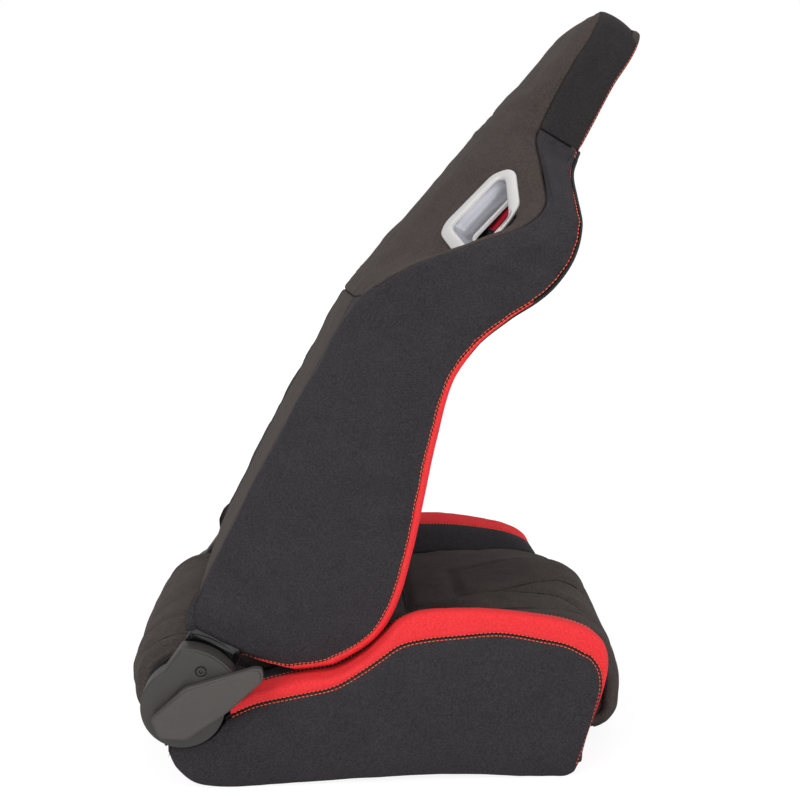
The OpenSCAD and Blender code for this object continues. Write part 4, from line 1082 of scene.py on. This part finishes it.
pv = 2 * steps(330, 5.0)[None] - 1
pu = 76 + (PAD_TOP - 76) * steps(661, 5.0)[:, None]
(_, _, _, _, _, G), _ = station_points((pu + 0 * pv).ravel())
pad_w = G[:, 1].reshape(pu.shape[0], -1) + 0.9 * bumps(pv) - np.maximum(0, (100 - pu) / 8)
pad_grid = leant(pad_w, G[:, 0].reshape(pad_w.shape) * pv, pu + 0 * pv)
quilt = [pad_grid[:, np.argmin(np.abs(pv[0] - q))] for q in (-PAD_SEAM, PAD_SEAM)]
quilt += [pad_grid[np.argmin(np.abs(pu[:, 0] - h))] for h in (230, 420, 600)]
panel("back_pad_cloth", pad_grid, leant(-60, 0, 400), DARK, "backrest", lines=quilt, depth=3.5,
      stands_for=("back_center",), seed=12, drape=0.6)

# %% [markdown]
# ## Cushion
# The middle cover comes up round the rear roll, dips under the folded back, crowns over the thighs
# and rolls over the nose. Its path is a list of stations with their half widths. A subdivided box
# would need its corners pushed by hand, while the path gives the profile that is seen from the
# side directly, and the crown is laid across it by the same formula as on the back pad.

# %% Cushion centre
SEAT_HALF = 167.6
ROLL = [(218, 63), (196, 64), (172, 62), (146, 62), (118, 59), (92, 56)]  # angle and radius about the hinge
roll_rows = [[HINGE_X + r * math.cos(math.radians(a)), HINGE_Z + r * math.sin(math.radians(a)), 200.0]
             for a, r in ROLL]
TOP = [[-172, 131], [-140, 122], [-95, 121], [-45, 130], [10, 145], [36, 150], [100, 158], [160, 160],
       [212, 159], [240, 154], [259, 141], [272, 122], [282, 101], [287, 80], [286, 58]]
# x, z and half width along the middle: round the rear roll, over the top and down the nose
PATH = np.array(roll_rows + [[-192, 140, 192]] + [[x, z, SEAT_HALF] for x, z in TOP]
                + [[284, 38, 167], [274, 22, 166], [258, 14, 165]], float)


def seat_skin(q, v):
    """Seat cover at q along its path (0 to 1) and v across (-1 to 1), the crown laid along its normal."""
    q, v = np.broadcast_arrays(np.asarray(q, float), np.asarray(v, float))
    flat = q.ravel()
    p = curve(PATH, flat)
    d = curve(PATH, np.minimum(flat + 0.004, 1)) - curve(PATH, np.maximum(flat - 0.004, 0))
    d = d[:, :2] / np.linalg.norm(d[:, :2], axis=1, keepdims=True)
    v, a = v.ravel(), np.abs(v.ravel())
    over_nose = smooth_step(p[:, 1], 115, 152)
    edge = 8 * smooth_step(a, 0.9, 1.0)
    tongue = 13 * np.exp(-(v / 0.34) ** 2) * smooth_step(p[:, 0], 110, 235) * over_nose
    h = bumps(v) * np.interp(flat, [0, 0.76, 0.86, 1], [1, 1, 0.4, 0.3]) + tongue - edge
    h = h - 4 * smooth_step(a, 0.6, 0.76) * smooth_step(p[:, 0], 165, 235) * smooth_step(p[:, 1], 115, 150)
    return np.stack([p[:, 0] - d[:, 1] * h, v * p[:, 2], p[:, 1] + d[:, 0] * h], -1).reshape(q.shape + (3,))


def along_top(x):
    """Place along the seat's path where its top passes x."""
    q = np.linspace(0.3, 0.72, 600)
    return np.interp(x, curve(PATH, q)[:, 0], q)


def seat_line(points):
    """Seam on the seat's top through points (x, y)."""
    p = polyline(points, 60)
    q = along_top(p[:, 0])
    return seat_skin(q, p[:, 1] / SEAT_HALF)


cq = steps(820, 4.5)[:, None]
cv = 2 * steps(335, 4.0)[None] - 1
seat_grid = seat_skin(cq, cv)
long_q = np.linspace(along_top(60), 0.985, 120)
long_v = np.interp(long_q, [along_top(60), along_top(131), along_top(194), 0.86, 1],
                   [0.72, 0.80, 0.80, 0.72, 0.66])
seat_lines = [seat_skin(long_q, long_v), seat_skin(long_q, -long_v),
              seat_line([(96, 6), (98, -92)]),
              seat_line([(98, -92), (135, -84), (176, -66), (229, -50), (256, -52)]),
              seat_line([(135, -84), (169, -84), (213, -94), (254, -125)]),
              seat_line([(96, 6), (142, 24), (218, 44), (256, 50)]),
              seat_line([(36, 20), (31, -160)]), seat_line([(36, 20), (31, 160)])]
roll_q = np.linspace(0.0, 0.3, 60)
seat_lines += [seat_skin(roll_q, sign * v0) for sign in (-1, 1) for v0 in (0.65, 0.875)]
panel("seat_cloth", seat_grid, (0, 0, 90), DARK, "base", lines=seat_lines, depth=3.2, relief=0.5,
      stands_for=("cushion_center",), seed=14, thick=8.0, drape=0.7, sewn=("t0", "t1"))


def sunk(grid, lines, away, deep):
    """Seam lines lowered by deep along the normal of the nearest point of a grid."""
    flat, nrm = grid.reshape(-1, 3), normals(grid, away).reshape(-1, 3)
    return [line - deep * nrm[((line[:, None] - flat) ** 2).sum(2).argmin(1)] for line in lines]


sunk_lines = sunk(seat_grid, [line[2:-2] for line in seat_lines], (0, 0, 90), 1.7)
cords("seat_seams", sunk_lines, 0.9, DARK_THREAD, "base")

# %% [markdown]
# ## Cushion bolsters and side panels
# The bolster's crest is a path with the depth of its two seams under it. The red strip covers the
# outer part from the crest down to the side panel, the black inner cloth falls to the middle pad.
# Both are read from one surface, cut at STRIP_FROM, so their seam lies on the same line.

# %% Bolsters
# x, z of the crest, then how far the inner and the outer seam lie below it
CREST = np.array([
    [-175, 96, 4, 13], [-146, 108, 4, 13], [-98, 119, 2, 15], [-60, 124, 1, 12], [-28, 141, 2, 11],
    [-6, 162, 12, 17], [14, 183, 30, 25], [42, 194, 42, 30], [80, 195, 41, 28], [125, 193, 39, 24],
    [170, 186, 33, 25], [209, 176, 23, 24], [239, 159, 8, 24], [249, 135, -5, 16], [246, 108, -12, 5],
    [237, 76, -14, 3], [226, 45, -14, 1.5], [219, 16, -12, 1.5]], float)
BOLSTER_Y0, BOLSTER_Y1, STRIP_FROM = 168.4, 250.0, 0.44


def crest_out(q):
    """Outward direction of the bolster at q: up on top, turning over the front with the crest's path."""
    p = curve(CREST, q)
    d = curve(CREST, np.minimum(q + 0.01, 1)) - curve(CREST, np.maximum(q - 0.01, 0))
    d = d[:, :2] / np.linalg.norm(d[:, :2], axis=1, keepdims=True)
    over_nose = smooth_step(-p[:, 1], -125, -95) * (p[:, 0] > 150)
    turn = np.maximum(smooth_step(p[:, 0], 150, 215), over_nose)[:, None]
    out = (1 - turn) * np.array([0.0, 1.0]) + turn * np.stack([-d[:, 1], d[:, 0]], -1)
    return p, out / np.linalg.norm(out, axis=1, keepdims=True)


def bolster_skin(q, v):
    """Bolster at q along the crest and v from inner to outer seam, as a smooth drop below the crest."""
    q, v = np.broadcast_arrays(np.asarray(q, float), np.asarray(v, float))
    p, out = crest_out(q.ravel())
    r2, r3 = p[:, 2], p[:, 3]
    one = np.ones_like(r2)
    ctrl = np.stack([np.stack([k * one, drop * one], -1) for k, drop in (
        (0.0, r2 + 2), (0.17, 0.68 * r2), (0.33, 0.38 * r2), (0.5, 0.21 * r2), (0.72, 0.07 * r2), (0.91, 0.0),
        (0.99, 0.24 * r3), (1.0, r3))], 1)
    f = across(ctrl, v.ravel()[:, None])[:, 0]
    return np.stack([p[:, 0] - out[:, 0] * f[:, 1], BOLSTER_Y0 + (BOLSTER_Y1 - BOLSTER_Y0) * f[:, 0],
                     p[:, 1] - out[:, 1] * f[:, 1]], -1).reshape(q.shape + (3,))


bq = steps(640, 4.0)[:, None]
for hand, flip in HANDS:
    core = flip(np.array([60.0, 205, 60]))
    strip_v, inner_v = STRIP_FROM + (1 - STRIP_FROM) * steps(62, 3.0)[None], STRIP_FROM * steps(50, 4.0)[None]
    panel(f"thigh_strip_{hand}", flip(bolster_skin(bq, strip_v)), core, RED, "base",
          stands_for=(f"cushion_bolster_{hand}",), relief=0.35, seed=16, sewn=("t0", "t1"))
    panel(f"thigh_inner_{hand}", flip(bolster_skin(bq, inner_v)), core, COOL, "base",
          relief=0.3, seed=17, sewn=("t0", "t1"))

# %% [markdown]
# ## Side panels of the cushion
# A padded board closes each side, from the bolster's outer seam to the floor, with a round notch
# for the recliner. Its grid runs between two outlines, the seam above and the hem below, so the
# seam is shared with the bolster to the millimetre.

# %% Side panels
RECLINER_NOTCH = 49.0
BOTTOM = np.array([[-244, 44], [-234, 24], [-214, 7], [-180, 1], [-130, 2], [-80, 4], [-30, 6], [20, 7],
                   [60, 7], [95, 6], [125, 4], [150, 2], [172, 1], [188, 0.5], [202, 0.5], [212, 5]], float)
REAR_TOP = np.array([[-244, 58], [-228, 64], [-208, 70], [-192, 77]], float)
p, out = crest_out(np.linspace(0, 1, 129))
seam_line = p[:, :2] - out * p[:, 3:4]
top_line = np.concatenate([REAR_TOP, seam_line])
sq = steps(560, 4.0)[:, None]
top_at = polyline(top_line, sq[:, 0])
bottom_at = curve(BOTTOM, sq[:, 0])
sv = steps(110, 4.0)[None]
bow = np.minimum(1, 6 * np.minimum(sv, 1 - sv)) * np.minimum(1, 10 * np.minimum(sq, 1 - sq))
side_y = 249.5 + 4.5 * np.sin(0.5 * math.pi * bow)
board = np.stack([bottom_at[:, None, 0] * (1 - sv) + top_at[:, None, 0] * sv, side_y,
                  bottom_at[:, None, 1] * (1 - sv) + top_at[:, None, 1] * sv], -1)
centre = np.array([HINGE_X, HINGE_Z])
off = board[..., [0, 2]] - centre
dist = np.linalg.norm(off, axis=-1, keepdims=True)
board_cut = dist[..., 0] < RECLINER_NOTCH
notch = centre + off / np.maximum(dist, 1e-6) * RECLINER_NOTCH
board[..., [0, 2]] = np.where(board_cut[..., None], notch, board[..., [0, 2]])
for hand, flip in HANDS:
    panel(f"side_board_{hand}", flip(board), (0, 0, 50), COOL, "base", inside=board_cut,
          stands_for=(f"side_panel_{hand}",), relief=0.3, seed=19, thick=14.0, sewn=("t1",))

# %% [markdown]
# ## Closing cloths
# A stuffed cover is closed all round. A cheek shuts each side of the nose, from the cover's edge back
# to the bolster. A web joins cover and side panel under the thin rear end of the bolster, and a
# closure shuts the gap beside the recliner under the folded back. Each is a ruled surface between
# two lines that the finished cloths already have.

# %% Closing cloths
CHEEK_Y, CHEEK_BACK = 161.0, 205.0
edge = seat_skin(np.linspace(along_top(CHEEK_BACK), 1.0, 90), 0.96)
back_x = np.minimum(edge[:, 0] - 1, CHEEK_BACK)
ck = steps(70, 5.0)[None]
cheek = np.stack([back_x[:, None] * (1 - ck) + (edge[:, 0] - 2)[:, None] * ck,
                  CHEEK_Y + 3 * np.sin(math.pi * ck) + 0 * edge[:, :1], edge[:, 2:] + 0 * ck], -1)

UNDER_COVER, UNDER_SEAM = 17, 6
wx = np.linspace(-168.0, -20.0, 60)[:, None]
wt = steps(80, 6.0)[None]
rear_top, rear_seam = PATH[6:14], seam_line[:60]
cover_z = np.interp(wx, rear_top[:, 0], rear_top[:, 1]) - UNDER_COVER
board_z = np.interp(wx, rear_seam[:, 0], rear_seam[:, 1]) - UNDER_SEAM
web = np.stack([wx + 0 * wt, 160 + 83 * wt + 0 * wx, cover_z * (1 - wt) + board_z * wt], -1)

CLOSURE_REAR, CLOSURE_LENGTH, CLOSURE_Y = -238, 96, 214
gx = steps(CLOSURE_LENGTH, 5.0)[:, None]
gz = steps(46, 5.0)[None]
cx = CLOSURE_REAR + CLOSURE_LENGTH * gx
foot, head = 62 + 26 * gx, 104 + 25 * np.exp(-(((cx + 172) / 22) ** 2))
closure = np.stack([cx + 0 * gz, CLOSURE_Y + 3 * np.sin(math.pi * gx) * np.sin(math.pi * gz),
                    foot * (1 - gz) + head * gz], -1)
closure_cut = np.linalg.norm(closure[..., [0, 2]] - centre, axis=-1) < RECLINER_NOTCH - 3
for hand, flip in HANDS:
    panel(f"nose_cheek_{hand}", flip(cheek), (150, 0, 60), COOL, "base", sewn=(), relief=0.4,
          thick=3.0, seed=23)
    panel(f"bolster_web_{hand}", flip(web), flip(np.array([-100, 190, -200])), COOL, "base",
          sewn=(), relief=0.4, thick=3.0, seed=22)
    panel(f"recliner_closure_{hand}", flip(closure), (0, 0, 90), COOL, "base", sewn=(),
          relief=0.6, thick=3.0, inside=closure_cut, seed=21)

# %% [markdown]
# ## Stitching
# Two rows of bright thread flank each seam between cloths, 3 to 4 mm from it, and a dark cord closes
# the bottom of the groove. On the head the rear seam is topstitched in dark thread.

# %% Stitches
for hand, _ in HANDS:
    runs = [inset(f"back_side_cloth_{hand}", "t1", mm=4.5), inset(f"back_strip_{hand}", "t0", mm=2.5)]
    stitching(f"back_stitches_{hand}", runs, THREAD, "backrest")
    runs = [inset(f"side_board_{hand}", "t1", mm=4.3, lo=0.15), inset(f"thigh_strip_{hand}", "t1", mm=3.2),
            inset(f"thigh_strip_{hand}", "t0"), inset(f"thigh_inner_{hand}", "t1", mm=4.3)]
    stitching(f"cushion_stitches_{hand}", runs, THREAD, "base")
    cords(f"back_seam_cord_{hand}", [groove_bottom(f"back_side_cloth_{hand}", "t1")], 1.9, DARK_THREAD,
          "backrest")
    seams = [groove_bottom(f"thigh_strip_{hand}", "t1"), groove_bottom(f"thigh_strip_{hand}", "t0"),
             groove_bottom(f"side_board_{hand}", "t1")]
    cords(f"cushion_seam_cord_{hand}", seams, 2.0, DARK_THREAD, "base")
stitching("head_stitches", [inset("head_gusset", "t1")], THREAD, "backrest")
stitching("head_dark_stitches", [inset("head_gusset", "t0")], DARK_THREAD, "backrest")

# %% [markdown]
# ## Hard parts
# A copy of each CAD solid is merged, its flat faces are joined, and a small bevel rounds its
# edges, which is what makes moulded and pressed parts catch the light. A bevel in the shader would
# round only the shading, and the outline against the white ground would stay sharp.

# %% Bevelled parts
MERGE = 2e-6  # metres within which a CAD solid's loose corners are one


def bevelled(node_name, width, finish):
    """Copy of a CAD node with rounded edges, standing for it."""
    src = frame["nodes"][node_name]
    me = src.data.copy()
    bm = bmesh.new()
    bm.from_mesh(me)
    bmesh.ops.remove_doubles(bm, verts=bm.verts, dist=MERGE)
    bmesh.ops.dissolve_limit(bm, angle_limit=math.radians(1.0), verts=bm.verts, edges=bm.edges)
    bm.to_mesh(me)
    bm.free()
    me.materials.clear()
    ob = placed(node_name + "_finished", me)
    dressed(ob, finish, src["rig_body"], [node_name])
    bevel = ob.modifiers.new("round", "BEVEL")
    bevel.width = width / METRE
    bevel.segments = 3
    bevel.limit_method = "ANGLE"
    bevel.angle_limit = math.radians(28)
    bevel.harden_normals = True
    done = bpy.data.meshes.new_from_object(ob.evaluated_get(bpy.context.evaluated_depsgraph_get()))
    ob.modifiers.clear()
    ob.data = done
    print(f"{ob.name}: {len(done.polygons)} faces")
    return ob


for hand, _ in HANDS:
    bevelled(f"recliner_cover_{hand}", 1.4, COVER)
    bevelled(f"lever_{hand}", 1.2, LEVER)
    bevelled(f"recliner_arm_{hand}", 0.8, GLOSS)
    bevelled(f"belt_guide_front_{hand}", 1.0, SILVER)

# %% [markdown]
# ## Finishes of the plain CAD parts
# The frame, the springs and the screws need no new shape. Each takes the finish that belongs to the
# material slot which the part's record gives its node.

# %% Plain parts
FINISH = {
    "frame_steel": PAINT, "zinc_steel": ZINC, "recliner_steel": STEEL, "arm_black": GLOSS,
    "cover_plastic": COVER, "lever_plastic": LEVER, "guide_silver": SILVER, "screw_black": GLOSS,
    "fabric_warm": WARM, "fabric_cool": COOL, "fabric_red": RED}
slots = {row["node"]: row["material_slot"] for row in frame["record"].get("subparts", []) if "node" in row}
for name, ob in frame["nodes"].items():
    ob.data.materials.clear()
    ob.data.materials.append(FINISH.get(slots.get(name), PAINT))
print("slots known for", len(slots), "nodes")

# %% [markdown]
# ## Stage, light and camera
# A white room: camera rays see plain white, while the light on the seat comes from soft lamps and a
# dimmer sky, so the dark cloth keeps its modelling and the floor only a faint shadow. Mirror rays
# keep the dimmer sky too, because a white one would wash out the black cloth.

# %% White room
SKY, MIRROR_SHARE = 0.55, 0.0
CAMERA_RAY, GLOSSY_RAY, TRANSMISSION_RAY = 0, 3, 6  # outputs of the Light Path node
world = bpy.data.worlds.new("white_room")
bpy.context.scene.world = world
world.use_nodes = True
tree = world.node_tree
tree.nodes.clear()
rays = [node(tree, "LightPath", k) for k in (CAMERA_RAY, GLOSSY_RAY, TRANSMISSION_RAY)]
seen = node(tree, "Clamp", 0, Value=rays[0] + rays[1] * MIRROR_SHARE + rays[2])
sky = node(tree, "Background", 0, Color=(1, 1, 1, 1), Strength=SKY)
white = node(tree, "Background", 0, Color=(1, 1, 1, 1), Strength=1.0)
mixed = node(tree, "MixShader", 0, None, i0=seen, i1=sky, i2=white)
tree.links.new(mixed.socket, tree.nodes.new("ShaderNodeOutputWorld").inputs["Surface"])

# %% Floor
HALF, UNDER = 30, -0.0005  # half the floor's side and its height, metres
floor_mesh = bpy.data.meshes.new("floor")
corners = [(x * HALF, y * HALF, UNDER) for x, y in ((-1, -1), (1, -1), (1, 1), (-1, 1))]
floor_mesh.from_pydata(corners, [], [(0, 1, 2, 3)])
floor = bpy.data.objects.new("floor", floor_mesh)
bpy.context.scene.collection.objects.link(floor)
mat, tree, shader = material("white_floor", Roughness=1.0)
tree.nodes.remove(shader)
diffuse = node(tree, "BsdfDiffuse", 0, Color=(0.9, 0.9, 0.9, 1))
glow = node(tree, "Emission", 0, Color=(1, 1, 1, 1), Strength=1.12)
spread = node(tree, "VectorMath", 1, {"operation": "LENGTH"}, i0=node(tree, "TexCoord", 3))
far = node(tree, "MapRange", 0, {"clamp": True}, Value=spread, From_Min=0.8, From_Max=2.2,
           To_Min=0.8, To_Max=1.0)
floor_mix = node(tree, "MixShader", 0, None, i0=node(tree, "LightPath", CAMERA_RAY) * far, i1=diffuse, i2=glow)
tree.links.new(floor_mix.socket, next(n for n in tree.nodes if n.type == "OUTPUT_MATERIAL").inputs["Surface"])
floor.data.materials.append(mat)
print("floor", 2 * HALF, "m square, sky", SKY)

# %% [markdown]
# ## Lamps and camera
# Three large square lamps give the soft light of a product studio: a key from the front left, a
# fill from the right and a weak one overhead. Their places are metres, their power watts. The
# camera stands beside the seat, a little nearer its back, and looks slightly down and forward.

# %% Lamps and camera
def lamp(name, place, aim, size, power, colour=(1, 1, 1)):
    """Square soft lamp at a place, turned to aim."""
    data = bpy.data.lights.new(name, "AREA")
    data.size, data.energy, data.color = size, power, colour
    ob = bpy.data.objects.new(name, data)
    bpy.context.scene.collection.objects.link(ob)
    direction = np.array(aim, float) - np.array(place, float)
    direction /= np.linalg.norm(direction)
    ob.location = place
    ob.rotation_euler = (math.acos(-direction[2]), 0, math.atan2(direction[1], direction[0]) - math.pi / 2)
    return ob


lamp("key", (-1.6, -2.2, 2.6), (0, 0, 0.4), 1.6, 44)
lamp("fill", (1.8, -2.4, 1.2), (0, 0, 0.4), 1.8, 22)
lamp("top", (0.1, 0.2, 3.0), (0, 0, 0.3), 2.0, 14)

TILT, PAN = 7.4, -4.3  # degrees below level and to the right
camera = bpy.data.cameras.new("camera")
camera.sensor_width, camera.lens = 36.0, 52.07
shot = bpy.data.objects.new("camera", camera)
bpy.context.scene.collection.objects.link(shot)
shot.location = (-0.080, -1.484, 0.594)
shot.rotation_euler = (math.radians(90 - TILT), 0, math.radians(PAN))
bpy.context.scene.camera = shot
bpy.context.scene.view_settings.view_transform = "Standard"

# %% Update the scene
bpy.context.view_layer.update()
